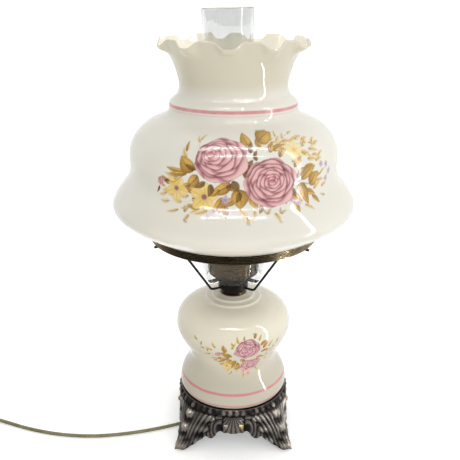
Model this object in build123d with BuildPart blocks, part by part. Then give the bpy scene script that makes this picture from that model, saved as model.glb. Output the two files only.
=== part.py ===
"""Electric parlour lamp in the style of an oil lamp, standing on the table plane z = 0.

A cast footed base carries a waisted milk-glass body. A threaded rod clamps base, glass, collar
and ring spider together and ends in a burner that hides an ordinary screw socket. The glass
chimney stands on the burner and a ruffled dome shade rests in a ribbed ring on three wire arms.
All sizes are millimetres. The lamp's axis is Z and its decorated front faces -Y.
"""
import math
import os

from build123d import *

os.makedirs("parts", exist_ok=True)

UP = (Align.CENTER, Align.CENTER, Align.MIN)
GAP = 0.3

# Cast base
PAD_R = 6.0
PAD_T = 1.5
FOOT_SIDE = 150.0
FOOT_SPREAD = 133.0
FOOT_BOSS_R = 6.8
FOOT_BOSS_T = 4.0
KNEE_SIDE = 146.0
KNEE_Z = 34.0
PLATE_LOW = 52.0
PLATE_TOP = 56.0
LIP_TOP = 60.0
LIP_R = 72.5
SEAT_R = 68.6

# Threaded rod and what it clamps
ROD_R = 4.95
ROD_BORE_R = 3.4
ROD_LOW = 42.0
ROD_TOP = 219.0
ROD_HOLE_R = 5.1
NUT_FLATS = 14.3

# Milk-glass body
BODY_GLASS_LOW = 57.0
BODY_GLASS_TOP = 196.0
BODY_GLASS_WALL = 3.5

# Collar, spider and shade ring
COLLAR_TOP = 202.5
HUB_R = 19.3
HUB_WEB_TOP = 206.5
HUB_TOP = 211.5
ARM_R = 1.5
ARM_Z = 204.5
ARM_BEND_R = 31.3
ARM_SLOPE = 57.0
ARM_END_R = 105.5
ARM_AZIMUTHS = {"left": -63.0, "right": 57.0, "rear": 177.0}
RING_R = 104.0
RING_LOW = 278.0
RING_TOP = 289.0
RING_WALL = 1.4
RING_LEDGE_R = 93.0

# Burner and socket
BOWL_TOP = 224.5
DRUM_R = 31.2
DRUM_ROLL_R = 31.9
DRUM_TOP = 246.8
REST_TOP = 218.6
SOCKET_R = 18.6
SHELL_LOW = 226.0
SHELL_TOP = 261.0
SHELL_WALL = 0.6
SOCKET_FLOOR = 232.0

# Bulb
BULB_CAP_R = 13.0
BULB_TIP_LOW = 235.8
BULB_CAP_LOW = 240.0
BULB_CAP_TOP = 261.0
BULB_R = 24.0
BULB_TOP = 324.0

# Chimney, which leans a little on its rests
CHIMNEY_LOW = 220.0
CHIMNEY_SHIFT = 0.6
CHIMNEY_LEAN = 1.3
CHIMNEY_HEIGHT = 323.0
CHIMNEY_WALL = 2.2

# Shade
SHADE_LOW = 280.2
SHADE_WALL = 3.0
RUFFLES = 11
RUFFLE_FIRST = -4.0
RUFFLE_CUT_R = 15.0
RUFFLE_DIP_Z = 504.5

# Cord, switch and plug
CORD_R = 2.6
CORD_START_Z = 39.0
COIL_CENTRE = (-383.0, -80.0)
COIL_MID_R = 28.5
COIL_TURNS = 7.25
COIL_HALF_WIDTH = 8.0
COIL_TOP = 14.5
SWITCH_X = (-389.0, -343.0)
SWITCH_Y = -14.5
SWITCH_WIDTH = 20.0
SWITCH_HEIGHT = 11.0
WHEEL_R = 8.0
WHEEL_T = 3.0
WHEEL_PIN_R = 1.5
PLUG_REAR = (-347.0, -110.5, 5.0)
PLUG_LENGTH = 24.0
BLADE_LENGTH = 16.0


def save(builder, name):
    """Label a finished piece and write it."""
    builder.part.label = name
    export_step(builder.part, f"parts/{name}.step")


def inset(points, wall):
    """An open outline moved by the wall thickness towards the left of its direction."""
    moved = []
    for i, (r, z) in enumerate(points):
        r0, z0 = points[max(i - 1, 0)]
        r1, z1 = points[min(i + 1, len(points) - 1)]
        length = math.hypot(r1 - r0, z1 - z0)
        moved.append((r - wall * (z1 - z0) / length, z + wall * (r1 - r0) / length))
    return moved


def radial_plane(azimuth):
    """The upright plane through the axis, measured from the front towards +X."""
    a = math.radians(azimuth)
    return Plane(
        origin=(0, 0, 0),
        x_dir=(math.sin(a), -math.cos(a), 0),
        z_dir=(-math.cos(a), -math.sin(a), 0),
    )


def loose_radii(points):
    """Arc radii for a loose cord: 0.45 of the shorter run over the tangent of half the turn."""
    radii = []
    for before, corner, after in zip(points, points[1:], points[2:]):
        run_in = Vector(*corner) - Vector(*before)
        run_out = Vector(*after) - Vector(*corner)
        half_turn = math.radians(run_in.get_angle(run_out)) / 2
        radii.append(0.45 * min(run_in.length, run_out.length) / math.tan(half_turn))
    return radii


# ---------------------------------------------------------------- cast base

# Four felt pads under the feet.
with BuildPart() as foot_pads:
    with GridLocations(FOOT_SPREAD, FOOT_SPREAD, 2, 2):
        Cylinder(PAD_R, PAD_T, align=UP)
save(foot_pads, "foot_pads")

# Footed casting: round at the glass, square at the table, hollow below, arched on each side.
# Each section is its height, side and corner radius.
OUTER_SECTIONS = ((PAD_T, FOOT_SIDE, 4.0), (KNEE_Z, KNEE_SIDE, 29.0), (LIP_TOP, 2 * LIP_R, LIP_R - 0.1))
INNER_SECTIONS = ((PAD_T - 1.0, 142.0, 3.0), (KNEE_Z, 135.0, 25.0), (PLATE_LOW, 126.0, 62.0))
ARCH_HALF = ((62.0, -1.0), (39.0, 20.0), (31.0, 17.5), (17.0, 28.0))
with BuildPart() as cast_base:
    for height, side, corner in OUTER_SECTIONS:
        with BuildSketch(Plane.XY.offset(height)):
            RectangleRounded(side, side, corner)
    loft()
    for height, side, corner in INNER_SECTIONS:
        with BuildSketch(Plane.XY.offset(height)):
            RectangleRounded(side, side, corner)
    loft(mode=Mode.SUBTRACT)
    with Locations((0, 0, PLATE_TOP)):
        Cylinder(SEAT_R, LIP_TOP, align=UP, mode=Mode.SUBTRACT)
    Cylinder(ROD_HOLE_R + 0.2, 4 * PLATE_TOP, mode=Mode.SUBTRACT)
    for side_plane in (Plane.XZ, Plane.YZ):
        with BuildSketch(side_plane) as arch:
            with BuildLine():
                left_half = [(-x, z) for x, z in ARCH_HALF]
                Polyline(*ARCH_HALF, *reversed(left_half), close=True)
            make_face()
            fillet(arch.vertices().group_by(Axis.Z)[-1], 5)
        extrude(amount=FOOT_SIDE, both=True, mode=Mode.SUBTRACT)
    # A boss in each foot that the felt pad is glued to.
    with Locations((0, 0, PAD_T)):
        with GridLocations(FOOT_SPREAD, FOOT_SPREAD, 2, 2):
            Cylinder(FOOT_BOSS_R, FOOT_BOSS_T, align=UP)
save(cast_base, "cast_base")

# ---------------------------------------------------------------- rod and clamping parts

with BuildPart() as threaded_rod:
    with Locations((0, 0, ROD_LOW)):
        Cylinder(ROD_R, ROD_TOP - ROD_LOW, align=UP)
        Cylinder(ROD_BORE_R, ROD_TOP - ROD_LOW, align=UP, mode=Mode.SUBTRACT)
    chamfer(threaded_rod.edges().filter_by(GeomType.CIRCLE).group_by(SortBy.RADIUS)[-1], 0.6)
save(threaded_rod, "threaded_rod")

WASHER_T = 1.5
with BuildPart() as rod_washer:
    with Locations((0, 0, PLATE_LOW - WASHER_T)):
        Cylinder(19.0, WASHER_T, align=UP)
        Cylinder(ROD_HOLE_R, WASHER_T, align=UP, mode=Mode.SUBTRACT)
save(rod_washer, "rod_washer")

NUT_T = 4.0
NUT_HEIGHTS = {"rod_locknut": PLATE_LOW - WASHER_T - NUT_T, "burner_locknut": HUB_WEB_TOP + 1.0}
for nut_name, nut_z in NUT_HEIGHTS.items():
    with BuildPart() as locknut:
        with BuildSketch(Plane.XY.offset(nut_z)):
            RegularPolygon(NUT_FLATS / 2, 6, major_radius=False)
            Circle(ROD_R + 0.05, mode=Mode.SUBTRACT)
        extrude(amount=NUT_T)
    save(locknut, nut_name)

# Plastic bushing that keeps the cord off the rod's lower edge.
with BuildPart() as cord_bushing:
    with Locations((0, 0, CORD_START_Z)):
        Cylinder(6.4, ROD_LOW - CORD_START_Z, align=UP)
        Cylinder(ROD_BORE_R - 0.05, 10.0, align=UP)
        Cylinder(CORD_R + 0.1, 10.0, align=UP, mode=Mode.SUBTRACT)
    fillet(cord_bushing.edges().group_by(Axis.Z)[0].sort_by(SortBy.RADIUS)[-1], 1.2)
save(cord_bushing, "cord_bushing")

with BuildPart() as glass_gasket:
    with Locations((0, 0, PLATE_TOP)):
        Cylinder(59.0, BODY_GLASS_LOW - PLATE_TOP, align=UP)
        Cylinder(46.0, BODY_GLASS_LOW - PLATE_TOP, align=UP, mode=Mode.SUBTRACT)
save(glass_gasket, "glass_gasket")

# ---------------------------------------------------------------- milk-glass body

# Waisted body: drum foot, narrow waist, full shoulder.
BODY_OUTLINE = [
    (60.0, 57.0),
    (66.8, 60.0),
    (70.5, 65.5),
    (71.0, 73.0),
    (69.3, 82.0),
    (65.0, 91.5),
    (59.3, 100.5),
    (56.9, 108.5),
    (58.4, 117.0),
    (64.0, 128.5),
    (70.5, 140.5),
    (73.9, 151.0),
    (73.9, 160.0),
    (71.3, 169.0),
    (64.5, 177.8),
    (51.5, 184.8),
    (37.0, 188.3),
]
# Two stepped rings and a short neck above the shoulder.
BODY_STEPS = [(35.0, 190.6), (28.2, 191.6), (26.6, 193.8), (20.0, 194.8), (17.4, BODY_GLASS_TOP)]
NECK_HOLE_R = 13.0
FOOT_HOLE_R = 40.0
body_inside = inset(BODY_OUTLINE, BODY_GLASS_WALL)
body_inside[0] = (body_inside[0][0], BODY_GLASS_LOW + BODY_GLASS_WALL)
with BuildPart() as base_glass:
    with BuildSketch(Plane.XZ):
        with BuildLine():
            Spline(*BODY_OUTLINE)
            Polyline(BODY_OUTLINE[-1], *BODY_STEPS, (NECK_HOLE_R, BODY_GLASS_TOP))
            Polyline((NECK_HOLE_R, BODY_GLASS_TOP), (NECK_HOLE_R, 189.5), body_inside[-1])
            Spline(*reversed(body_inside))
            Polyline(
                body_inside[0],
                (FOOT_HOLE_R, BODY_GLASS_LOW + BODY_GLASS_WALL),
                (FOOT_HOLE_R, BODY_GLASS_LOW),
                BODY_OUTLINE[0],
            )
        make_face()
    revolve(axis=Axis.Z)
save(base_glass, "base_glass")

# ---------------------------------------------------------------- collar and ring spider

with BuildPart() as neck_collar:
    with BuildSketch(Plane.XZ):
        with BuildLine():
            Polyline(
                (ROD_HOLE_R, COLLAR_TOP),
                (16.2, COLLAR_TOP),
                (17.3, 201.4),
                (16.4, 199.6),
                (17.4, 197.6),
                (17.4, BODY_GLASS_TOP),
                (14.6, BODY_GLASS_TOP),
                (14.6, 200.4),
                (ROD_HOLE_R, 200.4),
                close=True,
            )
        make_face()
    revolve(axis=Axis.Z)
save(neck_collar, "neck_collar")

with BuildPart() as spider_hub:
    with BuildSketch(Plane.XZ):
        with BuildLine():
            Polyline(
                (ROD_HOLE_R, COLLAR_TOP),
                (HUB_R - 1.2, COLLAR_TOP),
                (HUB_R, COLLAR_TOP + 1.4),
                (HUB_R, HUB_TOP - 0.8),
                (HUB_R - 0.6, HUB_TOP),
                (HUB_R - 1.5, HUB_TOP),
                (HUB_R - 1.5, HUB_WEB_TOP),
                (ROD_HOLE_R, HUB_WEB_TOP),
                close=True,
            )
        make_face()
    revolve(axis=Axis.Z)
save(spider_hub, "spider_hub")

# Wire arms: out of the hub, up at a steep slope, then flat under the ring to a short free end.
arm_top_z = RING_LOW - ARM_R
arm_top_r = ARM_BEND_R + (arm_top_z - ARM_Z) / math.tan(math.radians(ARM_SLOPE))
for side, azimuth in ARM_AZIMUTHS.items():
    arm_plane = radial_plane(azimuth)
    with BuildPart() as spider_arm:
        with BuildLine(arm_plane) as arm_route:
            FilletPolyline(
                (HUB_R - 3.0, ARM_Z),
                (ARM_BEND_R, ARM_Z),
                (arm_top_r, arm_top_z),
                (ARM_END_R, arm_top_z),
                radius=[6.0, 9.0],
            )
        with BuildSketch(Plane(arm_route.line @ 0, z_dir=arm_route.line % 0)):
            Circle(ARM_R)
        sweep()
    save(spider_arm, f"spider_arm_{side}")

# Ribbed ring with an inner ledge that carries the shade.
RIBS = 6
rib_pitch = (RING_TOP - RING_LOW) / RIBS
with BuildPart() as shade_ring:
    with BuildSketch(Plane.XZ):
        with BuildLine():
            for i in range(RIBS):
                low = RING_LOW + i * rib_pitch
                ThreePointArc(
                    (RING_R - 0.5, low),
                    (RING_R, low + rib_pitch / 2),
                    (RING_R - 0.5, low + rib_pitch),
                )
            Polyline(
                (RING_R - 0.5, RING_TOP),
                (RING_R - 0.5 - RING_WALL, RING_TOP),
                (RING_R - 0.5 - RING_WALL, RING_LOW + RING_WALL),
                (RING_LEDGE_R, RING_LOW + RING_WALL),
                (RING_LEDGE_R, RING_LOW),
                (RING_R - 0.5, RING_LOW),
            )
        make_face()
    revolve(axis=Axis.Z)
save(shade_ring, "shade_ring")

# ---------------------------------------------------------------- burner

BOWL_OUTLINE = [(17.3, 211.5), (18.3, 214.6), (21.4, 218.6), (25.0, 221.8), (28.5, BOWL_TOP)]
bowl_inside = inset(BOWL_OUTLINE, 0.9)
bowl_inside[-1] = (bowl_inside[-1][0], BOWL_TOP)
with BuildPart() as burner_bowl:
    with BuildSketch(Plane.XZ):
        with BuildLine():
            Spline(*BOWL_OUTLINE)
            Line(BOWL_OUTLINE[-1], bowl_inside[-1])
            Spline(*reversed(bowl_inside))
            Polyline(
                bowl_inside[0],
                (15.9, HUB_WEB_TOP + 1.0),
                (ROD_HOLE_R, HUB_WEB_TOP + 1.0),
                (ROD_HOLE_R, HUB_WEB_TOP),
                (16.9, HUB_WEB_TOP),
                BOWL_OUTLINE[0],
            )
        make_face()
    revolve(axis=Axis.Z)
save(burner_bowl, "burner_bowl")

# Drum with a rolled edge below and a rounded crown above.
with BuildPart() as burner_drum:
    with BuildSketch(Plane.XZ):
        with BuildLine():
            Line((26.0, BOWL_TOP), (30.4, BOWL_TOP))
            ThreePointArc((30.4, BOWL_TOP), (DRUM_ROLL_R, BOWL_TOP + 1.6), (DRUM_R, BOWL_TOP + 3.3))
            Line((DRUM_R, BOWL_TOP + 3.3), (DRUM_R, DRUM_TOP - 6.4))
            ThreePointArc((DRUM_R, DRUM_TOP - 6.4), (DRUM_ROLL_R, DRUM_TOP - 3.8), (29.4, DRUM_TOP - 0.8))
            Polyline(
                (29.4, DRUM_TOP - 0.8),
                (26.0, DRUM_TOP),
                (26.0, DRUM_TOP - 0.9),
                (29.0, DRUM_TOP - 1.6),
                (DRUM_R - 0.9, DRUM_TOP - 3.8),
                (DRUM_R - 0.9, BOWL_TOP + 0.9),
                (26.0, BOWL_TOP + 0.9),
                (26.0, BOWL_TOP),
            )
        make_face()
    revolve(axis=Axis.Z)
save(burner_drum, "burner_drum")

# Four flat tabs under the chimney's rim, standing out of the bowl.
REST_AZIMUTHS = (-123.0, -57.0, 57.0, 123.0)
with BuildPart() as chimney_rests:
    for azimuth in REST_AZIMUTHS:
        with BuildSketch(radial_plane(azimuth)):
            with Locations((21.0, REST_TOP)):
                Rectangle(15.4, 1.2, align=(Align.MIN, Align.MAX))
        extrude(amount=3.5, both=True)
save(chimney_rests, "chimney_rests")

# Four bowed leaf springs that centre the chimney on the drum.
SPRING_AZIMUTHS = (-110.0, -70.0, 70.0, 110.0)
with BuildPart() as chimney_springs:
    for azimuth in SPRING_AZIMUTHS:
        with BuildSketch(radial_plane(azimuth)):
            with BuildLine():
                ThreePointArc((DRUM_R + 0.1, 228.5), (33.0, 234.5), (DRUM_R + 0.1, 240.0))
                ThreePointArc((DRUM_R + 0.1, 240.0), (32.4, 234.4), (DRUM_R + 0.1, 228.5))
            make_face()
        extrude(amount=3.0, both=True)
save(chimney_springs, "chimney_springs")

# ---------------------------------------------------------------- socket

CAP_OUTLINE = [(12.0, 213.0), (15.0, 215.0), (17.3, 219.5), (SOCKET_R, SHELL_LOW)]
cap_inside = inset(CAP_OUTLINE, 0.7)
cap_inside[0] = (11.6, 213.7)
cap_inside[-1] = (cap_inside[-1][0], SHELL_LOW)
with BuildPart() as socket_cap:
    with BuildSketch(Plane.XZ):
        with BuildLine():
            Spline(*CAP_OUTLINE)
            Line(CAP_OUTLINE[-1], cap_inside[-1])
            Spline(*reversed(cap_inside))
            Polyline(cap_inside[0], (ROD_R + 0.05, 213.7), (ROD_R + 0.05, 213.0), CAP_OUTLINE[0])
        make_face()
    revolve(axis=Axis.Z)
save(socket_cap, "socket_cap")

with BuildPart() as socket_shell:
    with Locations((0, 0, SHELL_LOW)):
        Cylinder(SOCKET_R, SHELL_TOP - SHELL_LOW, align=UP)
        Cylinder(SOCKET_R - SHELL_WALL, SHELL_TOP - SHELL_LOW, align=UP, mode=Mode.SUBTRACT)
save(socket_shell, "socket_shell")

LINER_LENGTH = 33.0
LINER_R = SOCKET_R - SHELL_WALL - 0.1
with BuildPart() as socket_liner:
    with Locations((0, 0, SHELL_LOW + 0.5)):
        Cylinder(LINER_R, LINER_LENGTH, align=UP)
        Cylinder(LINER_R - 0.6, LINER_LENGTH, align=UP, mode=Mode.SUBTRACT)
save(socket_liner, "socket_liner")

# Moulded body with a flat on each side for a terminal screw.
TERMINAL_X = 9.0
TERMINAL_Z = 227.2
BODY_FLOOR = 222.4
TERMINAL_FLAT_WIDTH = 7.2
with BuildPart() as socket_body:
    with Locations((0, 0, BODY_FLOOR)):
        Cylinder(16.2, SOCKET_FLOOR - BODY_FLOOR, align=UP)
    for turn in (1, -1):
        with Locations((turn * TERMINAL_X, 0, BODY_FLOOR)):
            Box(
                10.0,
                TERMINAL_FLAT_WIDTH,
                SOCKET_FLOOR - BODY_FLOOR - 1.0,
                align=(Align.MIN if turn > 0 else Align.MAX, Align.CENTER, Align.MIN),
                mode=Mode.SUBTRACT,
            )
save(socket_body, "socket_body")

with BuildPart() as terminal_screws:
    for turn in (1, -1):
        with BuildSketch(Plane(origin=(turn * TERMINAL_X, 0, TERMINAL_Z), z_dir=(turn, 0, 0))):
            Circle(3.0)
        extrude(amount=1.8)
save(terminal_screws, "terminal_screws")

SCREW_SHELL_LENGTH = 26.5
with BuildPart() as screw_shell:
    with Locations((0, 0, SOCKET_FLOOR)):
        Cylinder(BULB_CAP_R + 1.1, SCREW_SHELL_LENGTH, align=UP)
    with Locations((0, 0, SOCKET_FLOOR + 0.5)):
        Cylinder(BULB_CAP_R + 0.6, SCREW_SHELL_LENGTH, align=UP, mode=Mode.SUBTRACT)
    # Hole in the floor for the centre contact.
    Cylinder(7.0, 4 * SOCKET_FLOOR, mode=Mode.SUBTRACT)
save(screw_shell, "screw_shell")

with BuildPart() as centre_contact:
    with Locations((0, 0, SOCKET_FLOOR)):
        Cylinder(5.0, 0.6, align=UP)
        Cylinder(2.6, BULB_TIP_LOW - GAP - SOCKET_FLOOR, align=UP)
save(centre_contact, "centre_contact")

# Two insulated leads, side by side up the rod's bore, then out to the terminal screws.
LEAD_R = 1.1
with BuildPart() as inner_leads:
    for turn in (1, -1):
        with BuildLine() as lead_route:
            FilletPolyline(
                (turn * 1.15, 0, CORD_START_Z),
                (turn * 1.15, 0, 220.4),
                (turn * 10.2, 0, 220.4),
                (turn * 10.2, 0, TERMINAL_Z - 3.1),
                radius=[1.6, 1.6],
            )
        with BuildSketch(Plane(lead_route.line @ 0, z_dir=lead_route.line % 0)):
            Circle(LEAD_R)
        sweep()
save(inner_leads, "inner_leads")

# ---------------------------------------------------------------- bulb

BULB_CAP_WALL = 1.3
with BuildPart() as bulb_cap:
    with Locations((0, 0, BULB_CAP_LOW)):
        Cylinder(BULB_CAP_R, BULB_CAP_TOP - BULB_CAP_LOW, align=UP)
    chamfer(bulb_cap.edges().group_by(Axis.Z)[0], 1.2)
    with Locations((0, 0, BULB_CAP_LOW)):
        Cylinder(BULB_CAP_R - BULB_CAP_WALL, BULB_CAP_TOP - BULB_CAP_LOW, align=UP, mode=Mode.SUBTRACT)
save(bulb_cap, "bulb_cap")

with BuildPart() as bulb_insulator:
    with BuildSketch(Plane.XY.offset(BULB_CAP_LOW)):
        Circle(BULB_CAP_R - BULB_CAP_WALL - 0.05)
    with BuildSketch(Plane.XY.offset(BULB_TIP_LOW + 1.4)):
        Circle(5.0)
    loft()
save(bulb_insulator, "bulb_insulator")

with BuildPart() as bulb_tip:
    with Locations((0, 0, BULB_TIP_LOW)):
        Cylinder(4.2, 1.4, align=UP)
    fillet(bulb_tip.edges().group_by(Axis.Z)[0], 1.0)
save(bulb_tip, "bulb_tip")

# Pear-shaped envelope with a plain neck inside the cap.
BULB_WALL = 0.8
BULB_NECK_R = 11.5
NECK_LOW = 244.0
NECK_TOP = 256.0
BULB_OUTLINE = [
    (BULB_NECK_R, NECK_TOP),
    (12.6, 266.0),
    (17.4, 276.0),
    (22.4, 288.0),
    (BULB_R, 300.0),
    (20.6, 314.0),
    (11.0, 322.4),
    (0.0, BULB_TOP),
]
bulb_inside = inset(BULB_OUTLINE, BULB_WALL)
bulb_inside[0] = (bulb_inside[0][0], NECK_TOP)
bulb_inside[-1] = (0.0, BULB_TOP - BULB_WALL)
with BuildPart() as bulb_glass:
    with BuildSketch(Plane.XZ):
        with BuildLine():
            Line((BULB_NECK_R, NECK_LOW), BULB_OUTLINE[0])
            Spline(*BULB_OUTLINE, tangents=((0, 1), (-1, 0)))
            Line(BULB_OUTLINE[-1], bulb_inside[-1])
            Spline(*reversed(bulb_inside), tangents=((1, 0), (0, -1)))
            Polyline(bulb_inside[0], (BULB_NECK_R - BULB_WALL, NECK_LOW), (BULB_NECK_R, NECK_LOW))
        make_face()
    revolve(axis=Axis.Z)
save(bulb_glass, "bulb_glass")

# Glass stem that closes the neck, and the lead wires with the filament between them.
STEM_TOP = 272.0
STEM_LOW = NECK_LOW + 0.5
with BuildPart() as bulb_stem:
    with Locations((0, 0, STEM_LOW)):
        Cylinder(BULB_NECK_R - BULB_WALL - 0.05, 1.2, align=UP)
        Cylinder(3.4, STEM_TOP - STEM_LOW, align=UP)
save(bulb_stem, "bulb_stem")

WIRE_R = 0.35
with BuildPart() as bulb_filament:
    with BuildLine() as filament_route:
        FilletPolyline(
            (-2.0, 0, STEM_TOP),
            (-2.0, 0, 276.0),
            (-9.0, 0, 292.0),
            (0, 5.0, 293.5),
            (9.0, 0, 292.0),
            (2.0, 0, 276.0),
            (2.0, 0, STEM_TOP),
            radius=1.2,
        )
    with BuildSketch(Plane(filament_route.line @ 0, z_dir=filament_route.line % 0)):
        Circle(WIRE_R)
    sweep()
save(bulb_filament, "bulb_filament")

# ---------------------------------------------------------------- chimney

# Measured along the chimney's own axis, from its foot: full at the burner, slim above.
CHIMNEY_OUTLINE = [
    (36.6, 0.0),
    (38.6, 7.0),
    (39.0, 16.0),
    (38.4, 40.0),
    (35.4, 75.0),
    (31.8, 115.0),
    (29.8, 165.0),
    (28.6, 230.0),
    (28.5, 300.0),
    (29.4, CHIMNEY_HEIGHT),
]
lean = math.radians(CHIMNEY_LEAN)
chimney_foot = Plane(
    origin=(CHIMNEY_SHIFT, 0, CHIMNEY_LOW),
    x_dir=(math.cos(lean), 0, math.sin(lean)),
    z_dir=(-math.sin(lean), 0, math.cos(lean)),
)
chimney_section = Plane(
    origin=chimney_foot.origin,
    x_dir=chimney_foot.x_dir,
    z_dir=-chimney_foot.y_dir,
)
chimney_inside = inset(CHIMNEY_OUTLINE, CHIMNEY_WALL)
chimney_inside[0] = (chimney_inside[0][0], 0.0)
chimney_inside[-1] = (chimney_inside[-1][0], CHIMNEY_HEIGHT)
with BuildPart() as chimney:
    with BuildSketch(chimney_section):
        with BuildLine():
            Spline(*CHIMNEY_OUTLINE)
            ThreePointArc(CHIMNEY_OUTLINE[-1], (28.2, CHIMNEY_HEIGHT + 1.0), chimney_inside[-1])
            Spline(*reversed(chimney_inside))
            Line(chimney_inside[0], CHIMNEY_OUTLINE[0])
        make_face()
    revolve(axis=Axis(chimney_foot.origin, chimney_foot.z_dir))
save(chimney, "chimney")

# ---------------------------------------------------------------- shade

# Fitter, deep bulge, soft groove, dome, beaded neck and flared rim.
SHADE_OUTLINE = [
    (101.0, SHADE_LOW),
    (101.3, 286.0),
    (108.0, 290.0),
    (120.5, 296.8),
    (135.0, 307.0),
    (143.8, 315.0),
    (146.5, 322.5),
    (143.5, 331.5),
    (134.0, 346.0),
    (126.4, 356.5),
    (123.6, 368.0),
    (123.9, 381.0),
    (119.8, 398.5),
    (109.2, 413.0),
    (89.0, 424.8),
    (77.2, 431.5),
    (75.2, 438.0),
    (74.7, 442.8),
    (67.0, 450.0),
    (63.2, 461.0),
    (65.6, 474.5),
    (70.5, 488.5),
    (77.0, 499.5),
    (84.6, 511.0),
]
shade_inside = inset(SHADE_OUTLINE, SHADE_WALL)
shade_inside[0] = (shade_inside[0][0], SHADE_LOW)
rim_mid = ((SHADE_OUTLINE[-1][0] + shade_inside[-1][0]) / 2 + 0.9, (511.0 + shade_inside[-1][1]) / 2 + 1.2)
with BuildPart() as shade:
    with BuildSketch(Plane.XZ):
        with BuildLine():
            Spline(*SHADE_OUTLINE)
            ThreePointArc(SHADE_OUTLINE[-1], rim_mid, shade_inside[-1])
            Spline(*reversed(shade_inside))
            Line(shade_inside[0], SHADE_OUTLINE[0])
        make_face()
    revolve(axis=Axis.Z)
    for i in range(RUFFLES):
        dip_plane = radial_plane(RUFFLE_FIRST + i * 360 / RUFFLES)
        across = Plane(origin=(0, 0, 0), x_dir=-dip_plane.z_dir, z_dir=dip_plane.x_dir)
        with BuildSketch(across.offset(60)):
            with Locations((0, RUFFLE_DIP_Z + RUFFLE_CUT_R)):
                Circle(RUFFLE_CUT_R)
        extrude(amount=40, mode=Mode.SUBTRACT)
save(shade, "shade")

# ---------------------------------------------------------------- cord

# Down out of the bushing, on to the table, out under the left arch, then to the switch.
RUN_ROUTE = [
    (0, 0, CORD_START_Z),
    (0, 0, 29),
    (-5, -1, 18),
    (-15, -3, 9),
    (-33, -7.5, 3.2),
    (-60, -15.5, CORD_R),
    (-98, -31, CORD_R),
    (-142, -42.5, CORD_R),
    (-186, -48.5, CORD_R),
    (-234, -45, CORD_R),
    (-278, -33.5, CORD_R),
    (-310, -20.5, CORD_R),
    (-328, -15.4, 4.0),
    (SWITCH_X[1] - 2.0, SWITCH_Y, SWITCH_HEIGHT / 2),
]
# Out of the switch and round to the coil.
LINK_ROUTE = [
    (SWITCH_X[0] + 2.0, SWITCH_Y, SWITCH_HEIGHT / 2),
    (-398, -15.2, 4.6),
    (-409, -21, 2.9),
    (-415, -33, CORD_R),
    (-414.5, -47, CORD_R),
    (-411.5, -61, CORD_R),
]
# Out of the coil to the plug.
TAIL_ROUTE = [
    (-372, -108.8, CORD_R),
    (-363, -109.6, 3.2),
    (-355, -110.4, 4.5),
    (PLUG_REAR[0] + 1.0, PLUG_REAR[1], PLUG_REAR[2]),
]
ROUTES = {"cord_run": RUN_ROUTE, "cord_link": LINK_ROUTE, "cord_tail": TAIL_ROUTE}
cord_total = COIL_TURNS * 2 * math.pi * COIL_MID_R + SWITCH_X[1] - SWITCH_X[0] - 4.0
for route_name, route in ROUTES.items():
    with BuildPart() as cord_piece:
        with BuildLine() as cord_line:
            FilletPolyline(*route, radius=loose_radii(route))
        with BuildSketch(Plane(cord_line.line @ 0, z_dir=cord_line.line % 0)):
            Circle(CORD_R)
        sweep()
    save(cord_piece, route_name)
    cord_total += cord_line.wires()[0].length
print("whole cord, mm:", round(cord_total, 1))

with BuildPart() as cord_coil:
    with Locations((*COIL_CENTRE, 0)):
        Cylinder(COIL_MID_R + COIL_HALF_WIDTH, COIL_TOP, align=UP)
        Cylinder(COIL_MID_R - COIL_HALF_WIDTH, COIL_TOP, align=UP, mode=Mode.SUBTRACT)
    fillet(cord_coil.edges().filter_by(GeomType.CIRCLE), 2.4)
save(cord_coil, "cord_coil")

# ---------------------------------------------------------------- line switch

SWITCH_MID = (SWITCH_X[0] + SWITCH_X[1]) / 2
SWITCH_LENGTH = SWITCH_X[1] - SWITCH_X[0]
SPLIT_Z = SWITCH_HEIGHT / 2
WHEEL_AT = (SWITCH_MID - 3.0, SWITCH_Y + 4.0)
WHEEL_ROOM = 0.4
SCREW_AT = (SWITCH_MID + 13.0, SWITCH_Y)
SCREW_R = 1.5
PIN_TOP = SWITCH_HEIGHT - 1.8
HALVES = {"switch_base": (0.0, SPLIT_Z), "switch_cover": (SPLIT_Z, SWITCH_HEIGHT)}
for half_name, (low, high) in HALVES.items():
    with BuildPart() as half:
        with BuildSketch(Plane.XY.offset(low)):
            with Locations((SWITCH_MID, SWITCH_Y)):
                RectangleRounded(SWITCH_LENGTH, SWITCH_WIDTH, 7.0)
        extrude(amount=high - low)
        outer_face = half.faces().sort_by(Axis.Z)[0 if low == 0 else -1]
        fillet(outer_face.edges(), 2.0)
        # Entries for the cord at both ends.
        with BuildSketch(Plane(origin=(SWITCH_MID, SWITCH_Y, SPLIT_Z), z_dir=(1, 0, 0))):
            Circle(CORD_R + 0.05)
        extrude(amount=SWITCH_LENGTH, both=True, mode=Mode.SUBTRACT)
        # Room for the thumb wheel, open at the side.
        with Locations((*WHEEL_AT, SPLIT_Z)):
            Cylinder(WHEEL_R + WHEEL_ROOM, WHEEL_T + 2 * WHEEL_ROOM, mode=Mode.SUBTRACT)
        if half_name == "switch_base":
            with Locations((*WHEEL_AT, 1.0)):
                Cylinder(WHEEL_PIN_R, PIN_TOP - 1.0, align=UP)
        else:
            with Locations((*WHEEL_AT, SPLIT_Z)):
                Cylinder(WHEEL_PIN_R + 0.05, PIN_TOP - SPLIT_Z, align=UP, mode=Mode.SUBTRACT)
        with Locations((*SCREW_AT, 1.5)):
            Cylinder(SCREW_R, SWITCH_HEIGHT, align=UP, mode=Mode.SUBTRACT)
        with Locations((*SCREW_AT, SWITCH_HEIGHT - 1.6)):
            Cylinder(2.9, 2.0, align=UP, mode=Mode.SUBTRACT)
    save(half, half_name)

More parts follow.
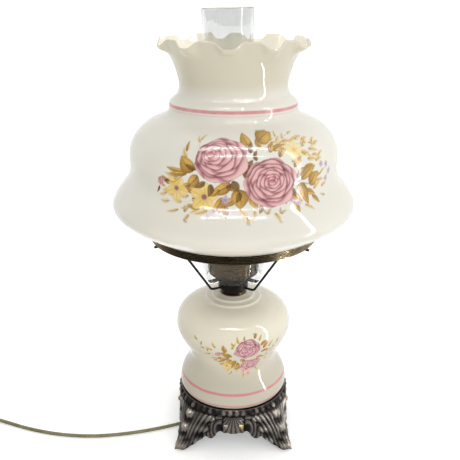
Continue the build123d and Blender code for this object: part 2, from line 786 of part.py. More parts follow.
KNURLS = 20
with BuildPart() as switch_wheel:
    with Locations((*WHEEL_AT, SPLIT_Z)):
        Cylinder(WHEEL_R, WHEEL_T)
        Cylinder(WHEEL_PIN_R + 0.05, WHEEL_T, mode=Mode.SUBTRACT)
        with PolarLocations(WHEEL_R + 0.25, KNURLS):
            Cylinder(0.6, WHEEL_T, mode=Mode.SUBTRACT)
save(switch_wheel, "switch_wheel")

with BuildPart() as switch_screw:
    with Locations((*SCREW_AT, 1.5)):
        Cylinder(SCREW_R - 0.05, SWITCH_HEIGHT - 3.1, align=UP)
    with Locations((*SCREW_AT, SWITCH_HEIGHT - 1.6)):
        Cylinder(2.8, 1.4, align=UP)
save(switch_screw, "switch_screw")

# ---------------------------------------------------------------- plug

BODY_WIDTH = 25.0
BODY_HEIGHT = 9.8
BLADE_SPACING = 12.7
plug_face = Plane(origin=PLUG_REAR, x_dir=(0, 1, 0), z_dir=(1, 0, 0))
with BuildPart() as plug_body:
    with BuildSketch(plug_face):
        RectangleRounded(9.0, 8.0, 3.0)
    with BuildSketch(plug_face.offset(9.0)):
        RectangleRounded(BODY_WIDTH - 4.0, BODY_HEIGHT - 0.6, 4.0)
    with BuildSketch(plug_face.offset(PLUG_LENGTH)):
        RectangleRounded(BODY_WIDTH, BODY_HEIGHT, 4.0)
    loft()
    with BuildSketch(plug_face):
        Circle(CORD_R)
    extrude(amount=1.0, mode=Mode.SUBTRACT)
save(plug_body, "plug_body")

with BuildPart() as plug_blades:
    with BuildSketch(plug_face.offset(PLUG_LENGTH)):
        with Locations((BLADE_SPACING / 2, 0), (-BLADE_SPACING / 2, 0)):
            Rectangle(1.5, 6.3)
    extrude(amount=BLADE_LENGTH)
    fillet(plug_blades.edges().filter_by(Axis.Y).group_by(Axis.X)[-1], 0.4)
save(plug_blades, "plug_blades")
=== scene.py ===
"""Looks of the electric parlour lamp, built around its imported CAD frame.

Metres, +Z up, the lamp's axis on x = y = 0 and the table at z = 0. The decorated front faces -Y.
Azimuths are measured from the front towards +X. Tables whose names end in _MM are millimetres.
"""
import math

import bpy
import numpy as np
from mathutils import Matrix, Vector


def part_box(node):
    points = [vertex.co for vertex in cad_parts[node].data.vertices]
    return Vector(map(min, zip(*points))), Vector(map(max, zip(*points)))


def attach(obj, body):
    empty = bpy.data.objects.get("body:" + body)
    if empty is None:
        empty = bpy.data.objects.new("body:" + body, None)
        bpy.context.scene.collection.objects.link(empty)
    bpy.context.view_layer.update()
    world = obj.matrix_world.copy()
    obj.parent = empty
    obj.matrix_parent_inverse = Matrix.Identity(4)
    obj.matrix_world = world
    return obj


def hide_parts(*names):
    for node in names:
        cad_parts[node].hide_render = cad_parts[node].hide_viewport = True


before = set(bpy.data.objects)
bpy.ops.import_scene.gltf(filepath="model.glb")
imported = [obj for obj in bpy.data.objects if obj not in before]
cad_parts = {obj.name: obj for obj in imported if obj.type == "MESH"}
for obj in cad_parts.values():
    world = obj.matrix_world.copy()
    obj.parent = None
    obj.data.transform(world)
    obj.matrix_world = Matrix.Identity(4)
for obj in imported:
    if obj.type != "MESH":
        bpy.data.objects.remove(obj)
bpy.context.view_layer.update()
scene = bpy.context.scene

MM = 0.001


# ---------------- objects and node trees

def add_object(name, data):
    made = bpy.data.objects.new(name, data)
    scene.collection.objects.link(made)
    return made


def srgb(red, green, blue):
    """A display colour, 0 to 255, as linear light."""
    c = np.array((red, green, blue)) / 255
    return np.where(c <= 0.04045, c / 12.92, ((c + 0.055) / 1.055) ** 2.4)


def rgba(colour):
    return (*[float(x) for x in colour], 1.0)


class Nodes:
    """Makes the nodes of a material, a world or a light, and links them."""

    def __init__(self, tree):
        self.tree = tree

    def feed(self, node, inputs):
        """Sets or links inputs by name, where _ stands for a space, or number. Arrays are colours."""
        for key, value in inputs.items():
            socket = node.inputs[key.replace("_", " ")] if isinstance(key, str) else node.inputs[key]
            if isinstance(value, bpy.types.NodeSocket):
                self.tree.links.new(value, socket)
            else:
                socket.default_value = rgba(value) if isinstance(value, np.ndarray) else value

    def node(self, kind, settings=(), **inputs):
        made = self.tree.nodes.new(kind)
        for key, value in dict(settings).items():
            setattr(made, key, value)
        self.feed(made, inputs)
        return made

    def ramp(self, value, low, high, to_low=0.0, to_high=1.0):
        """Value from low..high to to_low..to_high, smooth at both ends."""
        made = self.node("ShaderNodeMapRange", {"interpolation_type": "SMOOTHSTEP"})
        self.feed(made, {0: value, 1: low, 2: high, 3: to_low, 4: to_high})
        return made.outputs[0]

    def maths(self, operation, a, b=0.0):
        made = self.node("ShaderNodeMath", {"operation": operation})
        self.feed(made, {0: a, 1: b})
        return made.outputs[0]

    def scaled(self, value, middle, factor):
        """How far value is from middle, times factor."""
        return self.maths("MULTIPLY", self.maths("SUBTRACT", value, middle), factor)

    def dot(self, a, b):
        made = self.node("ShaderNodeVectorMath", {"operation": "DOT_PRODUCT"})
        self.feed(made, {0: a, 1: b})
        return made.outputs["Value"]

    def part(self, vector, axis):
        return self.node("ShaderNodeSeparateXYZ", Vector=vector).outputs[axis]


# ---------------- camera and light

CAMERA_AT = (-0.0042, -0.728, 0.5555)
CAMERA_DOWN = 20.7
CAMERA_LENS = 48.37
SENSOR_WIDTH = 36.0

camera_data = bpy.data.cameras.new("camera")
camera_data.lens = CAMERA_LENS
camera_data.sensor_width = SENSOR_WIDTH
camera = add_object("camera", camera_data)
camera.location = CAMERA_AT
camera.rotation_euler = (math.radians(90 - CAMERA_DOWN), 0, 0)
scene.camera = camera
scene.view_settings.view_transform = "Standard"


def strip_light(name, at, aim, size, power, dots=0):
    """A light of size (width, height) and power in watts, seen only in reflections, whole or as dots."""
    data = bpy.data.lights.new(name, "AREA")
    data.shape = "RECTANGLE"
    data.size, data.size_y = size
    data.energy = power
    if dots:
        data.use_nodes = True
        nodes = Nodes(data.node_tree)
        across = nodes.part(nodes.node("ShaderNodeNewGeometry").outputs["Parametric"], "Y")
        phase = nodes.maths("FRACT", nodes.maths("MULTIPLY", across, dots))
        nodes.feed(data.node_tree.nodes["Emission"], {"Strength": nodes.maths("LESS_THAN", phase, 0.5)})
    light = add_object(name, data)
    light.visible_diffuse = False
    light.visible_camera = False
    light.location = at
    light.rotation_euler = (Vector(aim) - Vector(at)).to_track_quat("-Z", "Y").to_euler()


def soft_sun(name, from_direction, strength, spread):
    """A sun spread over so many degrees that lights lamp and floor evenly, unseen in reflections."""
    data = bpy.data.lights.new(name, "SUN")
    data.energy = strength
    data.angle = math.radians(spread)
    light = add_object(name, data)
    light.rotation_euler = Vector(from_direction).to_track_quat("Z", "Y").to_euler()
    light.visible_glossy = False


soft_sun("front_sun", (0.12, -1.0, 0.72), 1.37, 60)
soft_sun("low_sun", (0.30, -1.0, 0.20), 0.55, 40)
strip_light("strip_far", (0.0, -0.31, 1.19), (0.0, 0.0, 0.40), (0.9, 0.011), 10.0, 34)
strip_light("strip_near", (0.0, -0.70, 1.19), (0.0, 0.0, 0.35), (1.1, 0.012), 10.0, 40)
strip_light("strip_right", (0.38, -0.20, 0.45), (0.0, 0.0, 0.45), (0.009, 0.86), 1.25)

# The world is dark in front, bright behind and above, with a second bright part on the right.
WORLD_DARK = 0.08
WORLD_BRIGHT = 1.05
WORLD_TOWARDS_BRIGHT = (0.25, 0.9, 0.45)
WORLD_RISE = (-0.35, 0.45)
WORLD_RIGHT = 0.75
WORLD_RIGHT_RISE = (0.68, 0.88)


def studio_world():
    world = bpy.data.worlds.new("studio")
    world.use_nodes = True
    nodes = Nodes(world.node_tree)
    direction = nodes.node("ShaderNodeTexCoord").outputs["Generated"]
    level = nodes.ramp(nodes.dot(direction, WORLD_TOWARDS_BRIGHT), *WORLD_RISE, WORLD_DARK, WORLD_BRIGHT)
    right = nodes.ramp(nodes.part(direction, "X"), *WORLD_RIGHT_RISE, 0.0, WORLD_RIGHT)
    background = world.node_tree.nodes["Background"]
    nodes.feed(background, {"Color": (1.0, 1.0, 1.0, 1.0), "Strength": nodes.maths("MAXIMUM", level, right)})
    return world


scene.world = studio_world()


# ---------------- materials

class Look(Nodes):
    """A procedural material: a Principled shader and the texture nodes that feed it."""

    def __init__(self, name, **inputs):
        self.material = bpy.data.materials.new(name)
        self.material.use_nodes = True
        super().__init__(self.material.node_tree)
        self.shader = self.tree.nodes["Principled BSDF"]
        self.place = self.node("ShaderNodeTexCoord").outputs["Object"]
        self.set(**inputs)

    def set(self, **inputs):
        """Sets or links inputs of the shader."""
        self.feed(self.shader, inputs)

    def noise(self, scale, detail=3.0, stretch=(1, 1, 1)):
        """Cloudy noise, scale cells to the metre, each axis scaled further by stretch."""
        place = self.node("ShaderNodeMapping", Vector=self.place, Scale=stretch).outputs[0]
        made = self.node("ShaderNodeTexNoise", Vector=place, Scale=scale, Detail=detail, Roughness=0.55)
        return made.outputs["Fac"]

    def mix(self, factor, a, b):
        """Colours a to b by factor."""
        made = self.node("ShaderNodeMix", {"data_type": "RGBA"})
        self.feed(made, {0: factor, 6: a, 7: b})
        return made.outputs[2]

    def attribute(self, name):
        return self.node("ShaderNodeAttribute", {"attribute_name": name})

    def height(self):
        """The z coordinate in metres."""
        return self.part(self.place, "Z")

    def bump(self, height, distance):
        """Adds a bump on top of those already there."""
        made = self.node("ShaderNodeBump", Height=height, Distance=distance, Strength=1.0)
        if self.shader.inputs["Normal"].links:
            self.feed(made, {"Normal": self.shader.inputs["Normal"].links[0].from_socket})
        self.set(Normal=made.outputs[0])


def finish_like(name, tones, rough, grain, metallic=0.0, stretch=(1, 1, 1), bump=0.00004, sheen=0.0):
    """A finish of two display colours mixed by noise, with roughness and bump from a finer grain."""
    look = Look(name, Metallic=metallic, Sheen_Weight=sheen)
    clouds = look.noise(grain / 9, 4.0)
    fine = look.noise(grain, 4.0, stretch)
    blend = look.maths("ADD", look.maths("MULTIPLY", clouds, 0.6), look.maths("MULTIPLY", fine, 0.4))
    look.set(Base_Color=look.mix(look.ramp(blend, 0.38, 0.62), *[srgb(*tone) for tone in tones]))
    look.set(Roughness=look.ramp(fine, 0.3, 0.7, *rough))
    look.bump(fine, bump)
    return look.material


BAND_PINK = srgb(205, 120, 128)


def milk_glass(name, tones, bands, painted_light, glow):
    """Opal glass with fired-on colours: the painted attribute and pink bands at given heights.

    Each band is (height, half its width, strength). Each tint is painted light or shade, (height
    without it, height with all of it, its factors on the first tone), lightening or darkening by height.
    The last argument is the strength of a painted glow inside, standing in for light through the wall.
    """
    look = Look(name, Subsurface_Weight=0.18, Subsurface_Scale=0.006, IOR=1.5, Emission_Color=tones[0])
    look.set(Subsurface_Radius=(1.0, 0.85, 0.7))
    body = look.mix(look.ramp(look.noise(9.0), 0.35, 0.65), *tones)
    # Painted light and shade: the glass is lightened or darkened by height.
    for none, full, factors in painted_light:
        body = look.mix(look.ramp(look.height(), none, full), body, tones[0] * np.array(factors))
    paint = look.attribute("paint")
    mottle = look.ramp(look.noise(900.0), 0.2, 0.5, 0.86, 1.0)
    cover = look.maths("MULTIPLY", paint.outputs["Alpha"], mottle)
    body = look.mix(cover, body, paint.outputs["Color"])
    wobble = look.scaled(look.noise(26.0, 2.0), 0.5, 0.0011)
    height = look.maths("ADD", look.height(), wobble)
    for middle, half, strength in bands:
        away = look.maths("ABSOLUTE", look.maths("SUBTRACT", height, middle))
        band = look.ramp(away, half * 0.55, half * 1.15, strength, 0.0)
        band = look.maths("MULTIPLY", band, look.ramp(look.noise(60.0, 2.0), 0.3, 0.6, 0.75, 1.0))
        body = look.mix(band, body, BAND_PINK)
        cover = look.maths("MAXIMUM", cover, band)
    look.set(Base_Color=body)
    sheen = look.ramp(look.noise(40.0), 0.3, 0.7, 0.055, 0.10)
    look.set(Roughness=look.maths("ADD", sheen, look.maths("MULTIPLY", cover, 0.10)))
    # A painted glow on the inside faces, standing in for the light that comes through the wall.
    outwards = look.node("ShaderNodeMapping", Vector=look.place, Scale=(1, 1, 0)).outputs[0]
    facing_out = look.dot(outwards, look.node("ShaderNodeNewGeometry").outputs["Normal"])
    look.set(Emission_Strength=look.ramp(facing_out, 0.0, -0.02, 0.0, glow))
    look.bump(look.noise(22.0, 2.0), 0.00025)
    look.bump(cover, 0.00003)
    return look.material


RING_RIBS = 6


def ribbed_brass():
    """Darkened brass of the shade ring, with patina left in the grooves between its ribs."""
    look = Look("antique_brass_ribbed", Metallic=1.0)
    low, high = (corner.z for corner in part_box("shade_ring"))
    turns = look.scaled(look.height(), low, RING_RIBS / (high - low))
    groove = look.maths("ABSOLUTE", look.maths("SUBTRACT", look.maths("FRACT", turns), 0.5))
    brushed = look.noise(90.0, 4.0, (1, 1, 14))
    clouds = look.noise(24.0, 4.0)
    worn = look.mix(look.ramp(clouds, 0.35, 0.65), srgb(184, 163, 128), srgb(228, 206, 164))
    worn = look.mix(look.ramp(brushed, 0.35, 0.7), worn, srgb(118, 102, 78))
    look.set(Base_Color=look.mix(look.ramp(groove, 0.16, 0.36), worn, srgb(22, 18, 14)))
    look.set(Roughness=look.ramp(brushed, 0.3, 0.7, 0.20, 0.36))
    look.bump(brushed, 0.00003)
    return look.material


def spun_brass():
    """Spun and darkened brass, brushed round the axis, dull and dark in patches."""
    look = Look("antique_brass", Metallic=1.0)
    brushed = look.noise(60.0, 5.0, (1, 1, 60))
    clouds = look.noise(45.0, 4.0)
    colour = look.mix(look.ramp(brushed, 0.35, 0.65), srgb(108, 91, 62), srgb(70, 58, 39))
    look.set(Base_Color=look.mix(look.ramp(clouds, 0.5, 0.72, 0.0, 0.7), colour, srgb(30, 25, 20)))
    look.set(Roughness=look.ramp(brushed, 0.3, 0.7, 0.15, 0.30))
    look.bump(brushed, 0.00004)
    return look.material


def cast_pewter():
    """Dark pewter casting: black in its recesses, rubbed bright on its ridges, gilt where touched up."""
    look = Look("pewter_casting", Metallic=0.7)
    relief = look.attribute("relief").outputs["Fac"]
    gilding = look.attribute("gilding").outputs["Fac"]
    grit = look.noise(600.0, 4.0)
    clouds = look.noise(60.0, 4.0)
    level = look.maths("ADD", relief, look.scaled(grit, 0.5, 0.30))
    level = look.maths("ADD", level, look.scaled(clouds, 0.5, 0.35))
    dark = look.mix(look.ramp(clouds, 0.35, 0.65), srgb(34, 31, 30), srgb(48, 44, 42))
    colour = look.mix(look.ramp(level, 0.24, 0.64), dark, srgb(108, 101, 96))
    colour = look.mix(look.ramp(level, 0.60, 0.95, 0.0, 0.9), colour, srgb(182, 174, 164))
    gilt = look.maths("MULTIPLY", look.ramp(level, 0.35, 0.75), gilding)
    look.set(Base_Color=look.mix(gilt, colour, srgb(196, 176, 122)))
    look.set(Roughness=look.ramp(level, 0.2, 0.95, 0.60, 0.32))
    look.bump(grit, 0.00012)
    return look.material


def clear_glass(name, rough, tint, transmission=1.0):
    """Thin blown glass with faint ripples and a little dust."""
    look = Look(name, Transmission_Weight=transmission, IOR=1.47)
    dust = look.noise(160.0, 4.0)
    tint = np.array(tint)
    look.set(Base_Color=look.mix(look.ramp(dust, 0.45, 0.75), tint, tint * 0.97))
    look.set(Roughness=look.ramp(dust, 0.4, 0.75, *rough))
    look.bump(look.noise(14.0, 2.0), 0.0003)
    return look.material


SHADE_GLASS = (srgb(222, 218, 206), srgb(218, 215, 205))
SHADE_BANDS = ((0.4405, 0.0021, 0.85), (0.4364, 0.0007, 0.25))
# Painted shade: the neck is darkened and yellowed, as if shaded.
SHADE_PAINTED_SHADE = ((0.450, 0.470, (0.84, 0.82, 0.75)),)
# Strength of the painted glow inside the shade, standing in for light through its wall.
SHADE_PAINTED_GLOW = 0.36
BODY_GLASS = (srgb(206, 200, 182), srgb(202, 197, 180))
BODY_BANDS = ((0.0820, 0.0019, 0.85), (0.0660, 0.0014, 0.7))
# Painted light and shade: the body's top is lightened against the shade's shadow, its lower bulge darkened.
BODY_PAINTED_LIGHT = ((0.130, 0.192, (1.34, 1.34, 1.36)), (0.125, 0.075, (0.85, 0.84, 0.84)))
BODY_PAINTED_GLOW = 0.0

BRIGHT_BRASS = ((196, 168, 108), (168, 140, 84))
# The arguments of finish_like: tones, roughness, grain, metallic, stretch, bump, sheen.
FINISHES = {
    "black_steel": (((26, 25, 25), (40, 38, 37)), (0.35, 0.5), 700.0, 0.55),
    "zinc_steel": (((150, 150, 148), (182, 182, 178)), (0.3, 0.45), 600.0, 1.0),
    "socket_aluminium": (((176, 176, 176), (204, 204, 202)), (0.25, 0.4), 500.0, 1.0, (1, 1, 8)),
    "socket_brass": (BRIGHT_BRASS, (0.2, 0.34), 400.0, 1.0, (1, 1, 8)),
    "blade_brass": (BRIGHT_BRASS, (0.2, 0.35), 500.0, 1.0, (8, 1, 1)),
    "felt": (((38, 44, 38), (58, 64, 54)), (0.9, 1.0), 2600.0, 0.0, (1, 1, 1), 0.0004, 0.4),
    "phenolic": (((40, 30, 26), (54, 42, 36)), (0.3, 0.5), 500.0),
    "black_plastic": (((24, 24, 25), (34, 34, 34)), (0.35, 0.5), 900.0),
    "gold_plastic": (((168, 148, 92), (186, 168, 112)), (0.3, 0.45), 900.0, 0.0, (1, 1, 1), 0.00003),
    "lead_insulation": (((196, 186, 150), (172, 162, 124)), (0.35, 0.5), 500.0),
    "liner_paper": (((150, 122, 86), (124, 98, 66)), (0.8, 0.95), 900.0),
}
looks = {name: finish_like(name, *finish) for name, finish in FINISHES.items()}
looks["shade_glass"] = milk_glass("milk_glass_shade", SHADE_GLASS, SHADE_BANDS, SHADE_PAINTED_SHADE, SHADE_PAINTED_GLOW)
looks["body_glass"] = milk_glass("milk_glass_body", BODY_GLASS, BODY_BANDS, BODY_PAINTED_LIGHT, BODY_PAINTED_GLOW)
looks["ring_brass"] = ribbed_brass()
looks["spun_brass"] = spun_brass()
looks["cast_pewter"] = cast_pewter()
looks["clear_glass"] = clear_glass("clear_glass", (0.0, 0.06), (0.815, 0.82, 0.815))
looks["frosted_glass"] = clear_glass("frosted_glass", (0.35, 0.5), (0.96, 0.96, 0.94), 0.75)

NODE_LOOKS = {
    "felt": ("foot_pads",),
    "black_steel": (
        "threaded_rod", "spider_arm_left", "spider_arm_right", "spider_arm_rear", "spider_hub",
        "chimney_rests",
    ),
    "zinc_steel": ("rod_washer", "rod_locknut", "burner_locknut", "terminal_screws", "switch_screw"),
    "black_plastic": ("cord_bushing", "glass_gasket", "bulb_insulator"),
    "spun_brass": ("neck_collar", "burner_bowl", "burner_drum", "chimney_springs"),
    "ring_brass": ("shade_ring",),
    "socket_brass": ("socket_cap", "socket_shell", "centre_contact", "bulb_tip", "bulb_filament"),
    "liner_paper": ("socket_liner",),
    "phenolic": ("socket_body",),
    "socket_aluminium": ("screw_shell", "bulb_cap"),
    "lead_insulation": ("inner_leads",),
    "frosted_glass": ("bulb_glass",),
    "clear_glass": ("chimney", "bulb_stem"),
    "gold_plastic": ("switch_base", "switch_cover", "switch_wheel", "plug_body"),
    "blade_brass": ("plug_blades",),
}
for look_name, node_names in NODE_LOOKS.items():
    for node_name in node_names:
        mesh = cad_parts[node_name].data
        mesh.materials.clear()
        mesh.materials.append(looks[look_name])


# ---------------- shapes

def smooth(low, high, x):
    """0 below low, 1 above high, eased between; the other way round where low is above high."""
    t = np.clip((x - low) / (high - low), 0, 1)
    return t * t * (3 - 2 * t)


def spline(points, spacing):
    """Points about every spacing along the smooth curve through the given ones."""
    p = np.array(points, float)
    t = np.concatenate(([0], np.cumsum(np.linalg.norm(np.diff(p, axis=0), axis=1))))
    h = np.diff(t)
    count = len(t)
    system = np.eye(count)
    slopes = np.zeros(p.shape)
    for k in range(1, count - 1):
        system[k, k - 1 : k + 2] = h[k - 1], 2 * (h[k - 1] + h[k]), h[k]
        slopes[k] = 6 * ((p[k + 1] - p[k]) / h[k] - (p[k] - p[k - 1]) / h[k - 1])
    bend = np.linalg.solve(system, slopes)
    x = np.linspace(0, t[-1], int(t[-1] / spacing) + 1)
    k = np.clip(np.searchsorted(t, x) - 1, 0, count - 2)
    before = (x - t[k])[:, None]
    after = (t[k + 1] - x)[:, None]
    span = h[k][:, None]
    return (
        (bend[k] * after**3 + bend[k + 1] * before**3) / (6 * span)
        + (p[k] / span - bend[k] * span / 6) * after
        + (p[k + 1] / span - bend[k + 1] * span / 6) * before
    )


def inset(line, wall):
    """An open line moved by wall towards the left of its direction."""
    along = np.gradient(line, axis=0)
    along /= np.linalg.norm(along, axis=1)[:, None]
    return line + wall * np.stack((-along[:, 1], along[:, 0]), axis=1)


def half_turn(start, end, bulge, count=9):
    """Points on a half ellipse from start to end, standing out by bulge to the right of that way."""
    start, end = np.array(start), np.array(end)
    across = (end - start) / 2
    out = np.array((across[1], -across[0]))
    out *= bulge / np.linalg.norm(out)
    a = np.linspace(0, math.pi, count)[1:-1, None]
    return (start + end) / 2 - across * np.cos(a) + out * np.sin(a)


SIDES = (((1, 0), (0, -1)), ((0, 1), (1, 0)), ((-1, 0), (0, 1)), ((0, -1), (-1, 0)))


def lattice(columns, rows, split, fine):
    """Vertex places and faces of a ring-shaped grid whose fine cells are split further.

    A place is (column, row), in cells. A cell beside a split one takes in the points along their
    shared side, so the mesh stays closed.
    """
    index = {}

    def at(i, j):
        return index.setdefault((i % (columns * split), j % (rows * split)), len(index))

    faces = []
    for column in range(columns):
        for row in range(rows):
            i, j = column * split, row * split
            if (column, row) in fine:
                for a in range(i, i + split):
                    for b in range(j, j + split):
                        faces.append((at(a, b), at(a + 1, b), at(a + 1, b + 1), at(a, b + 1)))
                continue
            ring = []
            for (di, dj), (dc, dr) in SIDES:
                beside = ((column + dc) % columns, (row + dr) % rows)
                step = 1 if beside in fine else split
                ring += [at(i + di * k, j + dj * k) for k in range(0, split, step)]
                i, j = i + di * split, j + dj * split
            faces.append(ring)
    return np.array(list(index)) / split, faces


def mesh_object(name, places, faces, look, smooth_shaded=True):
    """An object of the given points and faces, in metres."""
    mesh = bpy.data.meshes.new(name)
    mesh.from_pydata([tuple(p) for p in np.asarray(places).tolist()], [], faces)
    mesh.materials.append(look)
    mesh.polygons.foreach_set("use_smooth", [smooth_shaded] * len(mesh.polygons))
    mesh.update()
    return add_object(name, mesh)


class Section:
    """A closed section in (radius, height), with stations spaced by how sharply it bends."""

    def __init__(self, points, tightest, widest):
        self.points = np.vstack((points, points[:1]))
        steps = np.linalg.norm(np.diff(self.points, axis=0), axis=1)
        self.arc = np.concatenate(([0], np.cumsum(steps)))
        heading = np.unwrap(np.arctan2(*np.diff(self.points, axis=0).T[::-1]))
        middle = (self.arc[1:] + self.arc[:-1]) / 2
        probe = np.linspace(0, self.arc[-1], 6000)
        reach = widest / 2
        turn = np.abs(np.interp(probe + reach, middle, heading) - np.interp(probe - reach, middle, heading))
        spacing = np.clip(0.30 * 2 * reach / np.maximum(turn, 1e-6), tightest, widest)
        count = np.concatenate(([0], np.cumsum(np.diff(probe) / spacing[1:])))
        self.rows = int(round(count[-1]))
        self.stations = np.interp(np.linspace(0, count[-1], self.rows + 1), count, probe)

    def arc_at(self, row):
        return np.interp(row, np.arange(self.rows + 1), self.stations)

    def point_at(self, arc):
        return np.interp(arc, self.arc, self.points[:, 0]), np.interp(arc, self.arc, self.points[:, 1])


# ---------------- fired-on flowers

CRIMSON = srgb(116, 46, 52)
ROSE = srgb(204, 130, 136)
BLUSH = srgb(238, 194, 192)
OCHRE = srgb(226, 182, 92)
STRAW = srgb(238, 212, 132)
OLIVE = srgb(150, 114, 52)
UMBER = srgb(100, 66, 38)
CREAM = srgb(240, 224, 170)
LILAC = srgb(190, 165, 190)
PLUM = srgb(138, 88, 112)
MAUVE = srgb(206, 140, 170)
INK_DEPTH = 0.90


class Transfer:
    """Inks laid over one another at the points (u, v) of a glass, in millimetres.

    u runs to the right and v up the glass. Each call lays one motif over what is there.
    """

    def __init__(self, u, v, soft):
        self.u = u
        self.v = v
        self.soft = soft
        self.ink = np.zeros((len(u), 3))
        self.cover = np.zeros(len(u))

    def lay(self, mask, colour):
        self.ink += (colour - self.ink) * mask[:, None]
        self.cover += (1 - self.cover) * mask

    def frame(self, u, v, angle):
        """Coordinates along and across a direction, from the point (u, v)."""
        c, s = math.cos(math.radians(angle)), math.sin(math.radians(angle))
        du, dv = self.u - u, self.v - v
        return du * c + dv * s, dv * c - du * s

    def leaf(self, u, v, angle, length, width, body=OCHRE, dark=OLIVE, strength=1.0):
        along, across = self.frame(u, v, angle)
        t = np.clip(along / length, 0, 1)
        bow = across - width * 0.12 * np.sin(np.pi * t)
        half = width / 2 * np.sin(np.pi * t**0.75) ** 0.8
        inside = half - np.abs(bow)
        mask = smooth(-self.soft, self.soft, inside) * (along > 0) * (along < length) * strength
        shade = smooth(-width * 0.4, width * 0.5, bow)[:, None] * 0.75
        self.lay(mask, body + (dark - body) * shade)
        self.lay(mask * smooth(width * 0.22, 0, inside) * 0.55, dark)
        self.lay(mask * smooth(0.5, 0, t) * 0.45, UMBER)
        rib = smooth(0.7, 0.2, np.abs(bow)) * smooth(1, 0.5, t)
        veins = smooth(0.82, 1, np.cos((along - np.abs(bow) * 0.9) * 2 * np.pi / (length / 5.5)))
        self.lay(mask * np.maximum(rib * 0.8, veins * 0.35), UMBER)

    def leaves(self, rows, *style):
        for row in rows:
            self.leaf(*row, *style)

    def stem(self, points, width, colour, strength=0.8):
        near = np.full(len(self.u), 1e3)
        for (u0, v0), (u1, v1) in zip(points, points[1:]):
            length = math.hypot(u1 - u0, v1 - v0)
            along, across = self.frame(u0, v0, math.degrees(math.atan2(v1 - v0, u1 - u0)))
            near = np.minimum(near, np.hypot(along - np.clip(along, 0, length), across))
        self.lay(smooth(width / 2 + self.soft, width / 2 - self.soft, near) * strength, colour)

    def blossom(self, u, v, size, turn=20, body=STRAW, edge=OCHRE, heart=PLUM, strength=0.85, petals=5):
        for k in range(petals):
            along, across = self.frame(u, v, turn + 360 * k / petals)
            t = np.clip(along / size, 0, 1)
            inside = size * 0.36 * np.sin(np.pi * t**1.25) ** 0.6 - np.abs(across)
            mask = smooth(-self.soft, self.soft, inside) * (along > 0) * (along < size) * strength
            self.lay(mask, body)
            self.lay(mask * smooth(size * 0.14, 0, inside) * 0.5, edge)
            self.lay(mask * smooth(0.6, 0.1, t) * 0.6, edge)
            self.lay(mask * smooth(0.5, 0.1, np.abs(across)) * 0.35, UMBER)
        self.lay(smooth(size * 0.26, size * 0.1, np.hypot(self.u - u, self.v - v)) * strength, heart)

    def rose(self, u, v, angle, wide, high, heart, petals, body=ROSE, lip=BLUSH, dark=CRIMSON):
        """A full rose. Each ring of petals is (count, distance out, radius, turn), outermost first,
        and heart is where its middle lies, in shares of the half sizes wide and high."""
        x, y = self.frame(u, v, angle)
        x = x / wide
        y = y / high
        grown = np.zeros(len(x))
        for ring, (count, out, radius, turn) in enumerate(petals):
            move = ring / (len(petals) - 1)
            for k in range(count):
                a = math.radians(turn + 360 * k / count + 9 * math.sin(7.1 * k + 3 * ring))
                size = radius * (1 + 0.07 * math.sin(5.3 * k + 2.1 * ring))
                px = x - heart[0] * move - out * math.cos(a)
                py = y - heart[1] * move - out * math.sin(a)
                outward = (px * math.cos(a) + py * math.sin(a)) / size
                side = (py * math.cos(a) - px * math.sin(a)) / size
                ripple = 1 + 0.05 * np.cos(4 * np.arctan2(side, outward) + k + ring)
                reach = np.hypot(outward * 1.08, side * 0.9) / ripple
                edge = self.soft / (size * (wide + high) / 2)
                mask = smooth(1 + edge, 1 - edge, reach)
                self.lay(grown * smooth(1.35, 1.0, reach) * 0.62, dark)
                tone = smooth(-0.7, 0.85, outward)[:, None]
                streak = 0.10 * np.sin(side * 17 + 2 * ring + k)[:, None] * (1 - tone)
                shaded = body - (body - dark) * 0.35 * (1 - tone)
                self.lay(mask, shaded + (lip - body) * np.clip(tone * 0.9 + streak, 0, 1))
                rim = smooth(0.965, 1.0, reach) * smooth(-0.9, 0.2, outward)
                self.lay(mask * rim * 0.9, dark)
                grown = np.maximum(grown, mask)


ROSE_PETALS = (
    (6, 0.50, 0.50, 20),
    (6, 0.40, 0.44, 50),
    (5, 0.33, 0.37, 15),
    (5, 0.25, 0.31, 60),
    (4, 0.18, 0.24, 10),
    (4, 0.11, 0.18, 55),
    (3, 0.05, 0.12, 20),
)
SHADE_SPRAYS = (
    ((25, 162), (36, 166), (52, 171), (74, 179)),
    ((25, 162), (54, 177)),
    ((25, 162), (52, 166), (70, 163)),
    ((60, 165), (103, 163)),
    ((82, 151), (105, 147)),
    ((-41, 165), (-41, 176)),
)
